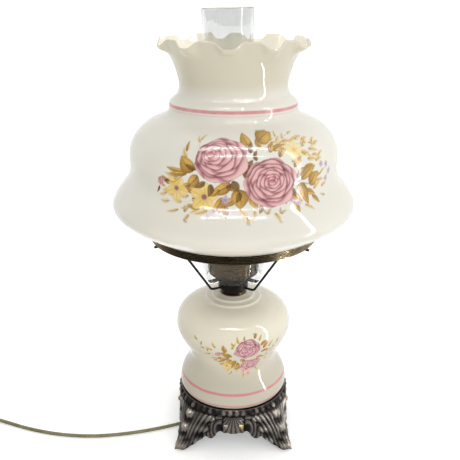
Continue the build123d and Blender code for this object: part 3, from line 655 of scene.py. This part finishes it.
# Leaves are (u, v, angle, length, width) from the stalk's end.
SHADE_PALE_LEAVES = (
    (52, 171, 40, 11, 4), (54, 177, 70, 11, 4), (74, 179, 20, 11, 4), (62, 173, 60, 11, 4),
    (44, 170, -10, 11, 4), (58, 166, -20, 11, 4), (90, 163, 50, 11, 4), (103, 163, 30, 11, 4),
    (97, 163, -30, 11, 4), (82, 151, 10, 11, 4), (95, 149, -8, 11, 4), (105, 147, 20, 11, 4),
    (-41, 173, 60, 11, 4), (-41, 170, 120, 11, 4), (-45, 103, -150, 11, 5), (-55, 104, 160, 11, 5),
    (-70, 103, 180, 11, 5), (-75, 112, 200, 11, 5), (-48, 112, -170, 11, 5), (-20, 104, -60, 11, 5),
)
SHADE_BACK_LEAVES = (
    (-38, 134, -136, 17, 12), (-50, 136, 173, 26, 6), (-50, 135, -175, 23, 5), (-36, 118, 175, 18, 8),
    (-22, 122, -150, 20, 9), (-46, 124, 200, 17, 7), (-12, 112, -120, 18, 9), (2, 112, -150, 16, 8),
    (-58, 128, -160, 18, 7), (-70, 122, 150, 14, 6), (-30, 104, -170, 18, 8), (-44, 110, -30, 14, 7),
    (-10, 104, -80, 14, 7), (16, 112, -60, 15, 8), (70, 120, -30, 18, 9), (78, 134, 20, 16, 7),
    (92, 124, 10, 14, 6), (64, 104, -80, 14, 6), (30, 164, 100, 14, 7), (44, 160, 20, 16, 7),
    (50, 152, 50, 14, 6), (66, 140, 40, 15, 7), (70, 132, 10, 16, 8), (84, 128, 60, 14, 7),
    (80, 112, -20, 16, 7), (90, 106, -60, 12, 6), (62, 112, -40, 16, 8), (40, 158, 60, 14, 7),
    (8, 160, 130, 14, 7),
)
SHADE_PALE_BACK = (
    (50, 164, 25, 16, 6), (60, 170, -10, 15, 6), (66, 160, -30, 15, 6), (78, 170, 15, 15, 6),
    (84, 160, 40, 14, 6), (92, 156, -15, 15, 5), (72, 150, 20, 16, 6), (86, 146, -10, 15, 5),
    (46, 172, 75, 13, 5), (100, 158, 55, 12, 4), (98, 142, 10, 12, 4), (-60, 130, 170, 18, 5),
    (-66, 110, 150, 14, 5), (-34, 104, -130, 14, 5), (-26, 98, 200, 14, 5), (6, 100, -60, 13, 5),
    (20, 98, -100, 12, 4), (94, 112, 25, 14, 5), (100, 120, -5, 13, 5), (-52, 150, 120, 14, 5),
    (56, 158, 5, 15, 5), (70, 166, 35, 14, 5), (88, 168, 10, 13, 4), (96, 150, -30, 13, 4),
    (80, 154, -25, 14, 5), (64, 146, -5, 14, 5), (104, 160, 10, 12, 4), (-56, 96, -160, 13, 4),
    (-44, 92, -120, 12, 4), (-68, 116, -170, 14, 5), (-78, 118, 160, 12, 4), (12, 92, -90, 10, 4),
    (40, 94, -70, 11, 4), (76, 98, -40, 12, 4), (104, 126, 30, 12, 4), (108, 112, 10, 11, 4),
)
SHADE_LILACS = (
    (-9, 110, 5), (107, 137, 4), (117, 135, 4), (124, 126, 4.5), (118, 119, 4), (68, 102, 4), (61, 107, 4),
    (-14, 98, 3), (-20, 98, 3), (-8, 97, 3), (-2, 98, 3), (-25, 91, 3.4),
)
SHADE_SPRIGS = (
    (-49, 94, 100), (-49, 94, 60), (33, 93, 60), (33, 93, 120), (46, 92, 30), (46, 92, 80), (54, 102, 60),
    (110, 102, 160), (95, 104, 150),
)
SHADE_LEAVES = (
    (-43, 138, 138, 22, 15), (-54, 158, 95, 13, 4), (19, 163, 110, 25, 13), (29, 171, 33, 26, 21),
    (-3, 127, -153, 24, 12), (3, 121, -81, 21, 18), (75, 126, 29, 24, 12), (89, 117, 46, 18, 16),
    (76, 121, -79, 24, 11), (-15, 120, -144, 12, 5),
)
SHADE_SHADOW_LEAVES = (
    (10, 134, 60, 20, 9), (24, 150, 100, 10, 5), (10, 140, -60, 16, 8), (-8, 124, -20, 14, 7),
    (22, 152, 70, 10, 4), (14, 146, -70, 16, 7), (18, 158, 80, 14, 6), (20, 140, -110, 14, 6),
    (-24, 126, -100, 14, 7), (-2, 130, -60, 14, 7), (-30, 128, -150, 14, 6), (6, 118, -110, 12, 6),
    (28, 104, -110, 10, 5), (62, 118, -60, 12, 6), (66, 128, 20, 12, 5), (-40, 140, 160, 14, 5),
)


def shade_flowers(t):
    """The large spray on the front of the shade."""
    for points in SHADE_SPRAYS:
        t.stem(points, 0.9, OCHRE, 0.7)
    t.leaves(SHADE_PALE_BACK, STRAW, OCHRE, 0.75)
    t.leaves(SHADE_PALE_LEAVES, CREAM, OCHRE, 0.7)
    t.blossom(71, 158, 12, 10, CREAM, STRAW, OCHRE, 0.8, petals=6)
    t.leaves(SHADE_BACK_LEAVES)
    t.stem(((-31, 113), (-50, 105), (-70, 103)), 0.7, STRAW)
    t.blossom(-63, 118, 14, 60)
    t.blossom(-31, 112, 16, 15, strength=0.9)
    t.stem(((-50, 136), (-66, 124), (-83, 123)), 0.8, OLIVE)
    for u, v, size in SHADE_LILACS:
        t.blossom(u, v, size, u * 7, LILAC, LILAC, strength=0.7)
    for u, v, angle in SHADE_SPRIGS:
        t.leaf(u, v, angle, 8, 3, STRAW, OLIVE, 0.6)
    t.leaves(SHADE_LEAVES)
    t.stem(((70, 124), (76, 125)), 1.0, OLIVE)
    t.stem(((70, 124), (89, 118)), 1.0, OLIVE)
    t.leaves(SHADE_SHADOW_LEAVES, OLIVE, UMBER, 0.9)
    t.rose(-14, 153, 12, 31, 26, (-0.35, 0.28), ROSE_PETALS)
    t.rose(39, 127, -8, 31, 27, (0.04, 0.05), ROSE_PETALS)
    t.rose(-84, 123, 60, 7.5, 6, (0.1, 0.3), ROSE_PETALS[2:6])
    t.leaf(-86, 117, -110, 8, 3, OLIVE, UMBER)
    t.leaf(-78, 124, 10, 7, 3, OLIVE, UMBER)


BODY_SPRAYS = (
    ((-28, 96), (-37, 104), (-47, 113)),
    ((-20, 92), (-28, 96)),
    ((43, 80), (52, 91), (60, 104)),
    ((43, 80), (56, 86), (68, 93)),
)
BODY_PALE_LEAVES = (
    (-37, 104, 170, 6, 2.4), (-41, 108, 80, 6, 2.4), (-47, 113, 135, 7, 2.8), (-33, 100, 75, 6, 2.4),
    (48, 86, 90, 7, 2.6), (52, 91, 20, 7, 2.6), (60, 104, 65, 7, 2.8), (56, 98, 110, 6, 2.4),
    (60, 88, -10, 7, 2.6), (68, 93, 40, 7, 2.6), (-24, 88, 190, 8, 3), (-23, 85, -150, 7, 3),
    (13, 119, 80, 6, 2.6), (0, 113, 120, 5, 2.4),
)
BODY_PALE_BACK = (
    (-26, 104, 160, 10, 3.6), (-30, 96, 190, 10, 3.6), (-22, 108, 120, 9, 3.4), (-14, 84, 200, 12, 5),
    (-18, 80, 170, 10, 4), (-6, 70, -120, 10, 4), (4, 70, -80, 10, 4.5), (-2, 108, 60, 10, 4),
    (6, 116, 100, 9, 3.6), (32, 116, 60, 9, 3.6), (44, 96, 10, 11, 4), (46, 104, 50, 10, 4),
    (40, 86, -20, 10, 4), (48, 78, -30, 8, 3), (36, 64, -50, 8, 3), (16, 60, -100, 8, 3),
    (-2, 62, -140, 8, 3),
)
BODY_LEAVES = (
    (-9, 103, 110, 11, 6), (-2, 94, 150, 15, 8), (-6, 92, -155, 13, 7), (-4, 88, -120, 15, 8),
    (4, 84, -150, 18, 9), (6, 80, -105, 15, 8), (12, 74, -140, 14, 7), (-10, 78, -160, 12, 6),
    (-13, 98, 60, 9, 4), (10, 88, -60, 12, 7), (38, 104, 50, 10, 5), (36, 98, 5, 11, 5), (32, 88, -20, 12, 6),
    (-16, 92, 215, 10, 5), (26, 120, 60, 9, 4), (-4, 98, 170, 12, 6), (-12, 88, -140, 12, 6),
    (0, 78, -110, 12, 6), (14, 84, -80, 10, 5), (34, 110, 20, 10, 5),
)


def body_flowers(t):
    """The small spray on the front of the body."""
    for points in BODY_SPRAYS:
        t.stem(points, 0.7, OCHRE, 0.75)
    t.leaves(BODY_PALE_BACK, STRAW, OCHRE, 0.8)
    t.leaves(BODY_PALE_LEAVES, STRAW, OLIVE, 0.8)
    t.leaves(BODY_LEAVES, OCHRE, OLIVE, 0.95)
    t.blossom(-10, 72, 8, 30, STRAW, OCHRE, OLIVE, 0.8)
    t.blossom(16, 62, 4.5, 0, BLUSH, OCHRE, UMBER, 0.8)
    t.blossom(24, 58, 4.5, 40, BLUSH, OCHRE, UMBER, 0.8)
    t.rose(26, 74, 10, 21, 14, (0.1, 0.25), ROSE_PETALS[1:], MAUVE)
    t.rose(18, 105, -10, 17, 16.5, (0.05, 0.05), ROSE_PETALS, MAUVE)
    t.rose(3, 101, 0, 5.5, 7, (0.2, 0.3), ROSE_PETALS[3:], MAUVE)
    t.rose(-19, 98, 30, 8, 5, (0.3, 0.1), ROSE_PETALS[2:6], ROSE)


def paint(obj, azimuth, arc, design, soft, region, reference):
    """Lays a design on the vertices inside region = (u low, u high, v low, v high), in mm, where u is
    measured round the radius reference and soft is half the width of an ink's edge."""
    u = azimuth * reference
    inside = (u > region[0]) & (u < region[1]) & (arc > region[2]) & (arc < region[3])
    inks = np.zeros((len(u), 4))
    transfer = Transfer(u[inside], arc[inside], soft)
    design(transfer)
    strength = np.maximum(transfer.cover, 1e-4)[:, None]
    inks[inside] = np.hstack((INK_DEPTH * transfer.ink / strength, transfer.cover[:, None]))
    layer = obj.data.color_attributes.new("paint", "FLOAT_COLOR", "POINT")
    layer.data.foreach_set("color", inks.ravel())


# ---------------- shade

SHADE_OUTLINE_MM = (
    (101, 280.2), (101.3, 286), (108, 290), (120.5, 296.8), (135, 307), (143.8, 315),
    (146.5, 322.5), (143.5, 331.5), (134, 346), (126.4, 356.5), (123.6, 368), (123.9, 381),
    (119.8, 398.5), (109.2, 413), (89, 424.8), (77.2, 431.5), (75.2, 438), (74.7, 442.8),
    (67, 450), (63.2, 461), (65.6, 474.5), (70.5, 488.5), (77, 499.5), (84.6, 511),
)
SHADE_LATHE = {"wall": 3.0, "lip": 2.1, "columns": 200, "split": 6, "spacing": (0.9, 3.9)}
SHADE_PATCH = {"region": (-100, 136, 84, 190), "reference": 124.0}
SHADE_INK_EDGE = 0.4
# The rim's tongues, in mm: their shape, how far they turn out and down, and how far the gaps go.
RUFFLES = 11
RUFFLE_FIRST = math.radians(-4.0)
RUFFLE_SHAPE = (0.12, 0.98)
RUFFLE_LEAN = 0.18
RUFFLE_OUT = 4.2
RUFFLE_DROP = 7.2
RUFFLE_HEIGHTS = (492.0, 512.0)
GAP_IN = 0.8
GAP_DROP = 0.6


def lathe_glass(outer, wall, lip, columns, split, spacing, region, reference):
    """Faces, azimuths, arc lengths, radii and heights of a blown glass, in radians and mm.

    Its cells are split further inside region = (u low, u high, v low, v high). spacing is the
    tightest and the widest step along the section, and lip is how far the rim stands out.
    """
    def azimuth_of(column):
        azimuth = column / columns * math.tau
        return np.where(azimuth > math.pi, azimuth - 2 * math.pi, azimuth)

    inner = inset(outer, wall)[::-1]
    rim = half_turn(outer[-1], inner[0], lip)
    foot = half_turn(inner[-1], outer[0], wall / 2)
    section = Section(np.vstack((outer, rim, inner, foot)), *spacing)
    u = azimuth_of(np.arange(columns)) * reference
    v = section.arc_at(np.arange(section.rows + 1))
    fine_columns = np.flatnonzero((u > region[0]) & (u < region[1])).tolist()
    fine_rows = np.flatnonzero((v[:-1] > region[2]) & (v[1:] < region[3])).tolist()
    fine = {(column, row) for column in fine_columns for row in fine_rows}
    places, faces = lattice(columns, section.rows, split, fine)
    arc = section.arc_at(places[:, 1])
    return faces, azimuth_of(places[:, 0]), arc, *section.point_at(arc)


def around(azimuth, radius, height):
    """Cylindrical millimetres to points in metres."""
    points = np.stack((radius * np.sin(azimuth), -radius * np.cos(azimuth), height), axis=1)
    return points * MM


shade_line = spline(SHADE_OUTLINE_MM, 0.4)
faces, azimuth, arc, radius, height = lathe_glass(shade_line, **SHADE_LATHE, **SHADE_PATCH)
turn = RUFFLES * (azimuth - RUFFLE_FIRST)
tongue = smooth(*RUFFLE_SHAPE, (1 + np.cos(turn + RUFFLE_LEAN * np.sin(turn))) / 2)
lift = smooth(*RUFFLE_HEIGHTS, height)
radius = radius + lift * (RUFFLE_OUT * tongue - GAP_IN)
height = height - lift**1.5 * (RUFFLE_DROP * tongue + GAP_DROP)
shade_glass = mesh_object("shade_glass", around(azimuth, radius, height), faces, looks["shade_glass"])
paint(shade_glass, azimuth, arc, shade_flowers, SHADE_INK_EDGE, **SHADE_PATCH)
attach(shade_glass, "shade")
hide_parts("shade")


# ---------------- body glass

BODY_OUTLINE_MM = (
    (60, 57), (66.8, 60), (70.5, 65.5), (71, 73), (69.3, 82), (65, 91.5), (59.3, 100.5),
    (56.9, 108.5), (58.4, 117), (64, 128.5), (70.5, 140.5), (73.9, 151), (73.9, 160),
    (71.3, 169), (64.5, 177.8), (51.5, 184.8), (37, 188.3),
)
BODY_STEPS_MM = ((35, 190.6), (28.2, 191.6), (26.6, 193.8), (20, 194.8), (17.4, 196))
BODY_LATHE = {"wall": 3.5, "lip": 0.6, "columns": 190, "split": 5, "spacing": (0.8, 2.6)}
BODY_PATCH = {"region": (-56, 78, 50, 126), "reference": 72.0}
BODY_INK_EDGE = 0.32

shoulder = spline((BODY_OUTLINE_MM[-1], (35.4, 189.4), BODY_STEPS_MM[0]), 0.3)
steps = [spline(BODY_OUTLINE_MM, 0.3), shoulder[1:]]
for start, end in zip(np.array(BODY_STEPS_MM), np.array(BODY_STEPS_MM[1:])):
    steps.append(start + (end - start) * np.linspace(0, 1, 8)[1:, None])
body_line = np.vstack(steps)
faces, azimuth, arc, radius, height = lathe_glass(body_line, **BODY_LATHE, **BODY_PATCH)
body_glass = mesh_object("body_glass", around(azimuth, radius, height), faces, looks["body_glass"])
paint(body_glass, azimuth, arc, body_flowers, BODY_INK_EDGE, **BODY_PATCH)
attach(body_glass, "lamp")
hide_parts("base_glass")


# ---------------- cast base

PLATE_MM = (52.0, 56.0)
ROD_HOLE_MM = 5.3
SEAT_MM = 68.7
LIP_MM = 72.2
BASE_TOP_MM = 59.8
BASE_WALL_MM = 3.0
# Height, radius at the middle of a side, radius at a corner.
BASE_PROFILE_MM = (
    (1.5, 73, 107.5), (6, 73, 106), (12, 73, 102.5), (20, 73, 98.5), (30, 73, 92.5),
    (40, 72.8, 86), (48, 72.5, 80), (55, 72.2, 74.5), (60, 72, 72),
)
# Distance from the middle of a side, height of the pierced apron's edge.
APRON_EDGE_MM = (
    (0, 25), (4, 25.2), (8, 26.5), (12, 26), (17, 29), (20.5, 27.5), (25, 20.5),
    (30, 17.3), (34, 18.3), (38, 20.3), (43, 15.5), (48, 13), (52, 9), (57, 6.5),
    (62, 2.6), (67, 1.5), (79, 1.5),
)
SIDE_MM = 74.0
CORNER_REACH = 1.448
BASE_LOW_MM, BASE_HIGH_MM = 1.5, 60.0
BASE_COLUMNS, BASE_SPLIT = 152, 4
OUTER_ROWS, INNER_ROWS = 26, 8
FLUTES = 5.6
BOSS_MM = (10.5, 36.5)
SCROLL_MM = (18.0, 33.0)
BEADS = 52
BEAD_HEIGHT_MM = 55.8
# The wall's own surface is the relief's RELIEF_ZERO_MM, and RELIEF_FULL_MM is its brightest.
RELIEF_ZERO_MM = 1.0
RELIEF_FULL_MM = 3.2


def side_frame(azimuth):
    """Angle from the nearest corner in radians, and distance from the side's middle in mm."""
    quarter = np.mod(azimuth, math.pi / 2)
    corner = np.abs(quarter - math.pi / 4)
    return corner, SIDE_MM * np.tan(np.minimum(math.pi / 4 - corner, math.pi / 4))


def ridges(turns, sharpness=1.0):
    """Rounded ridges one turn apart with narrow grooves between them."""
    return np.abs(np.cos(math.pi * turns)) ** sharpness


def boss_distance(along, height):
    return np.hypot(along - BOSS_MM[0], height - BOSS_MM[1])


def base_relief(corner, along, height):
    """Height of the casting's ornament in mm, from the angle off the corner, the distance along
    the side and the height."""
    low = (BASE_HIGH_MM - height) / (BASE_HIGH_MM - BASE_LOW_MM)
    wave = np.cos(math.tau * (low * 3.6 + 0.15))
    spread = corner / np.radians(27.0 - 17.0 * low**1.2)
    q = spread / (1 + 0.10 * wave)
    on_leaf = smooth(1.05, 0.95, q)
    sweep_out = 0.8 * np.sin(math.pi * (low * 1.15 - 0.2)) * smooth(0.0, 0.5, spread)
    flutes = ridges(FLUTES * spread**0.85 + sweep_out, 0.9)
    flutes = flutes * (0.80 + 0.20 * np.cos(9.0 * low + 5.0 * spread))
    fold = smooth(0.25, 1.0, spread) * wave
    toe = 3.0 * np.exp(-(((height - 6.0) / 4.0) ** 2)) - 1.6 * np.exp(-(((height - 14.5) / 2.6) ** 2))
    leaf = 0.5 + 2.5 * flutes + 1.4 * fold + 1.0 * smooth(0.14, 0.0, spread)
    leaf = leaf + 2.4 * wave * smooth(0.30, 0.05, spread) * smooth(0.9, 0.7, low)
    leaf = leaf * smooth(0.02, 0.16, low) + toe * smooth(0.17, 0.05, corner)
    ring = np.hypot((along - SCROLL_MM[0]) * 0.8, (height - SCROLL_MM[1]) * 0.55)
    scroll = 0.5 + 2.1 * ridges((ring - 1.5) / 4.0, 0.8) * smooth(1.5, 4.0, ring)
    on_scroll = smooth(13.5, 16.0, along)
    fan = np.arctan2(along, 56.0 - height)
    shell = 0.4 + 1.7 * ridges(fan * 4.3, 0.9) * smooth(52.0, 46.0, height)
    boss = boss_distance(along, height)
    shell += 2.4 * np.sqrt(np.clip(1 - (boss / 3.6) ** 2, 0, 1))
    relief = shell + (scroll - shell) * on_scroll
    seam = smooth(1.6, 0.0, np.abs(along - 14.5)) * 1.2
    relief = relief - seam * (1 - on_leaf)
    relief = relief + (leaf - relief) * on_leaf
    relief = relief - 1.3 * smooth(0.08, 0.0, np.abs(q - 1.01)) * smooth(0.9, 0.6, low)
    return relief * smooth(60.0, 52.0, height)


def cast_base_mesh():
    """The footed casting: plate, lip, ornamented wall over scalloped aprons, and plain inside."""
    profile = np.array(BASE_PROFILE_MM)
    edge = spline(APRON_EDGE_MM, 0.5)
    head = ((ROD_HOLE_MM, PLATE_MM[1]), (30.0, PLATE_MM[1]), (SEAT_MM, PLATE_MM[1]), (SEAT_MM, 59.2))
    head += ((SEAT_MM + 0.9, 60.0), (LIP_MM - 1.2, 60.0))
    tail = ((60.0, PLATE_MM[0]), (30.0, PLATE_MM[0]), (ROD_HOLE_MM, PLATE_MM[0]))
    first, last = len(head), len(head) + OUTER_ROWS
    foot_row = last + INNER_ROWS
    rows = foot_row + len(tail) + 1
    fine = {(c, r) for c in range(BASE_COLUMNS) for r in range(first, last)}
    places, faces = lattice(BASE_COLUMNS, rows, BASE_SPLIT, fine)
    azimuth = places[:, 0] / BASE_COLUMNS * math.tau
    corner, along = side_frame(azimuth)
    share = (1 / np.cos(math.pi / 4 - corner) - 1) / (CORNER_REACH - 1)
    share = share - np.log1p(np.exp(18 * (share - 0.93))) / 18
    bottom = np.interp(along, edge[:, 0], edge[:, 1])

    def wall(height):
        middle = np.interp(height, profile[:, 0], profile[:, 1])
        out = np.interp(height, profile[:, 0], profile[:, 2])
        return middle + (out - middle) * share

    row = places[:, 1]
    down = np.clip((row - first) / OUTER_ROWS, 0, 1)
    height = BASE_TOP_MM + (bottom - BASE_TOP_MM) * down
    relief = base_relief(corner, along, height)
    bead_turn = (azimuth * BEADS / math.tau) % 1 - 0.5
    bead = np.sqrt(np.clip(1 - (bead_turn / 0.42) ** 2 - ((height - BEAD_HEIGHT_MM) / 3.8) ** 2, 0, 1))
    relief = np.maximum(relief, 2.8 * bead) - 0.9 * smooth(2.0, 0.4, np.abs(height - 51.2))
    turned = smooth(1.0, 0.955, down)
    radius = wall(height) - RELIEF_ZERO_MM + relief * turned
    up = np.clip((row - last - 1) / (INNER_ROWS - 1), 0, 1)
    inside_height = bottom + (PLATE_MM[0] - bottom) * up
    inside_radius = wall(inside_height) - RELIEF_ZERO_MM - BASE_WALL_MM - 1.5 * up
    inside = row > last
    radius = np.where(inside, inside_radius, radius)
    height = np.where(inside, inside_height, height)
    relief = np.where(inside, 0.4, relief)
    bead_tone = 0.62 + 0.34 * np.sin(2.4 * np.floor(azimuth * BEADS / math.tau))
    tone = np.where((bead > 0.05) & ~inside, relief * bead_tone, relief)
    tone = np.where(height > 59.3, 1.6, tone) + 0.9 * smooth(16.0, 10.0, along) * ~inside
    tone = tone - 1.1 * smooth(15.0, 5.0, height) * ~inside
    ring = np.arange(len(head) + 1)
    top = row <= first
    head_r = [p[0] for p in head] + [LIP_MM - RELIEF_ZERO_MM]
    head_z = [p[1] for p in head] + [BASE_TOP_MM]
    radius = np.where(top, np.interp(row, ring, head_r), radius)
    height = np.where(top, np.interp(row, ring, head_z), height)
    foot = row >= foot_row
    tail_rows = foot_row + np.arange(len(tail) + 2)
    end_r = (0.0, *[p[0] for p in tail], ROD_HOLE_MM)
    end_z = (PLATE_MM[0], *[p[1] for p in tail], PLATE_MM[1])
    joined = np.where(row == foot_row, inside_radius, np.interp(row, tail_rows, end_r))
    radius = np.where(foot, joined, radius)
    height = np.where(foot, np.interp(row, tail_rows, end_z), height)
    made = mesh_object("cast_base_ornamented", around(azimuth, radius, height), faces, looks["cast_pewter"])
    boss = smooth(5.0, 3.0, boss_distance(along, height)) * (np.sin(azimuth) > 0) * ~inside
    toe = 0.35 * smooth(0.72, 0.9, share) * smooth(16.0, 6.0, height) * (np.sin(azimuth) < 0)
    layers = {"relief": tone / RELIEF_FULL_MM, "gilding": np.maximum(boss, toe)}
    for layer_name, values in layers.items():
        layer = made.data.attributes.new(layer_name, "FLOAT", "POINT")
        layer.data.foreach_set("value", np.clip(values, 0, 1).astype(np.float32))
    return made


casting = cast_base_mesh()
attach(casting, "lamp")
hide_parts("cast_base")


# ---------------- cord

CORD_EXIT = (0.0, 0.0, 0.039)
CORD_WIDTH = 0.0052
CORD_THICKNESS = 0.0036
CORD_LAID = 0.0019
COIL_CENTRE = (-0.383, -0.080)
COIL_TURN_COUNT = 7.25
COIL_POINTS_PER_TURN = 16

# A point without a height lies on the table.
TO_SWITCH = (
    CORD_EXIT, (0, 0, 0.029), (-0.005, -0.001, 0.018), (-0.015, -0.003, 0.009), (-0.033, -0.0075, 0.0030),
    (-0.060, -0.0155), (-0.098, -0.031), (-0.142, -0.0425),
    (-0.186, -0.0485), (-0.234, -0.045), (-0.278, -0.0335),
    (-0.310, -0.0205), (-0.328, -0.0154, 0.0040), (-0.345, -0.0145, 0.0055),
)
TO_COIL = (
    (-0.387, -0.0145, 0.0055), (-0.398, -0.0152, 0.0042), (-0.409, -0.021, 0.0024),
    (-0.415, -0.033), (-0.4145, -0.047), (-0.4115, -0.061),
)
TO_PLUG = (
    (-0.372, -0.1088, 0.0022), (-0.363, -0.1096, 0.0032), (-0.355, -0.1104, 0.0045), (-0.346, -0.1105, 0.005),
)
# Each turn's radius and height at its start. The cord winds outside, middle, inside, then back out.
COIL_TURNS = (
    (0.0285, 0.0019), (0.0233, 0.0019), (0.0236, 0.0058), (0.0288, 0.0057), (0.0338, 0.0059),
    (0.0315, 0.0096), (0.0264, 0.0098), (0.0290, 0.0075), (0.0287, 0.0019),
)


def coil_points():
    """The turns as more points of the cord's line, from its leftmost point round to the plug side."""
    table = np.array(COIL_TURNS)
    points = []
    for k in range(1, int(COIL_TURN_COUNT * COIL_POINTS_PER_TURN)):
        turn = k / COIL_POINTS_PER_TURN
        radius, height = (np.interp(turn, np.arange(len(table)), column) for column in table.T)
        angle = math.pi + math.tau * turn
        x = COIL_CENTRE[0] + radius * math.cos(angle)
        y = COIL_CENTRE[1] + radius * math.sin(angle)
        points.append((x, y, height))
    return points


def nurbs_path(route):
    """Points along the smooth curve that the points of route pull into shape."""
    curve = bpy.data.curves.new("cord_line", "CURVE")
    curve.dimensions = "3D"
    curve.resolution_u = 8
    line = curve.splines.new("NURBS")
    line.points.add(len(route) - 1)
    for point, place in zip(line.points, route):
        point.co = (*place, 1.0)
    line.order_u = 3
    line.use_endpoint_u = True
    made = add_object("cord_line", curve)
    bpy.context.view_layer.update()
    mesh = bpy.data.meshes.new_from_object(made.evaluated_get(bpy.context.evaluated_depsgraph_get()))
    path = np.array([v.co for v in mesh.vertices])
    bpy.data.objects.remove(made)
    bpy.data.meshes.remove(mesh)
    return path


cord_route = (*TO_SWITCH, *TO_COIL, *coil_points(), *TO_PLUG)
cord_path = nurbs_path([(*point, CORD_LAID)[:3] for point in cord_route])


def twin_section(count=14):
    """The cord's section: two round cores side by side in one sleeve, as (across, up)."""
    a = np.arange(count) / count * math.tau
    across = CORD_WIDTH / 2 * np.sign(np.cos(a)) * np.abs(np.cos(a)) ** 0.8
    waist = 1 - 0.24 * np.exp(-((across / 0.0009) ** 2))
    return across, CORD_THICKNESS / 2 * np.sin(a) * waist


def sweep(name, path, section, look):
    """A capped tube whose section keeps its width level along the path."""
    along = np.gradient(path, axis=0)
    along /= np.linalg.norm(along, axis=1)[:, None]
    across = np.cross(np.array((0.0, 0.0, 1.0)), along)
    weak = np.linalg.norm(across, axis=1) < 0.05
    across[weak] = across[~weak][0]
    across /= np.linalg.norm(across, axis=1)[:, None]
    up = np.cross(along, across)
    wide, high = section
    places = path[:, None] + across[:, None] * wide[None, :, None] + up[:, None] * high[None, :, None]
    count, ring = len(path), len(wide)
    faces = [
        (k * ring + i, k * ring + (i + 1) % ring, (k + 1) * ring + (i + 1) % ring, (k + 1) * ring + i)
        for k in range(count - 1)
        for i in range(ring)
    ]
    faces += [tuple(range(ring))[::-1], tuple((count - 1) * ring + i for i in range(ring))]
    return mesh_object(name, places.reshape(-1, 3), faces, look)


def cord_sleeve():
    """Gold-tinted vinyl over twisted copper, greener where it is thick, with a soft shine."""
    look = Look("cord_gold", Specular_IOR_Level=0.6)
    strands = look.noise(1500.0, 3.0, (0.5, 0.5, 1))
    colour = look.mix(look.ramp(look.noise(60.0), 0.35, 0.65), srgb(98, 92, 52), srgb(118, 111, 72))
    look.set(Base_Color=look.mix(look.ramp(strands, 0.5, 0.7, 0.0, 0.55), colour, srgb(184, 176, 136)))
    look.set(Roughness=look.ramp(strands, 0.3, 0.7, 0.30, 0.45))
    look.bump(strands, 0.00005)
    return look.material


cord = sweep("cord", cord_path, twin_section(), cord_sleeve())
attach(cord, "lamp")
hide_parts("cord_run", "cord_link", "cord_coil", "cord_tail")


# ---------------- table and background

TABLE_REACH = 12.0
TABLE_TOP = -0.0002
TABLE_GLOW = 0.28
ROOM_GLOW = (1.01, 1.04)

table_look = Look("table_top", Specular_IOR_Level=0.3, Emission_Color=(1, 1, 1, 1))
grain = table_look.noise(30.0, 4.0)
white = table_look.mix(table_look.ramp(grain, 0.3, 0.7), srgb(247, 247, 246), srgb(250, 250, 249))
table_look.set(Base_Color=white, Roughness=table_look.ramp(grain, 0.3, 0.7, 0.55, 0.65))
table_look.set(Emission_Strength=TABLE_GLOW)
corners = [(x * TABLE_REACH, y * TABLE_REACH, TABLE_TOP) for x, y in ((-1, -1), (1, -1), (1, 1), (-1, 1))]
table = mesh_object("table", corners, [(0, 1, 2, 3)], table_look.material, False)
table.visible_glossy = False

# A white room that only the camera and the clear glass see, so every side has a plain background.
room_look = Look("backdrop", Emission_Color=(1, 1, 1, 1), Base_Color=(0, 0, 0, 1))
room_look.set(Emission_Strength=room_look.ramp(room_look.noise(0.4, 2.0), 0.3, 0.7, *ROOM_GLOW))
room = mesh_object(
    "backdrop",
    [(x, y, z) for x, y, _ in corners for z in (TABLE_TOP, TABLE_REACH)],
    [(0, 1, 3, 2), (2, 3, 5, 4), (4, 5, 7, 6), (6, 7, 1, 0), (1, 7, 5, 3)],
    room_look.material, False,
)
room.visible_diffuse = room.visible_glossy = room.visible_shadow = False
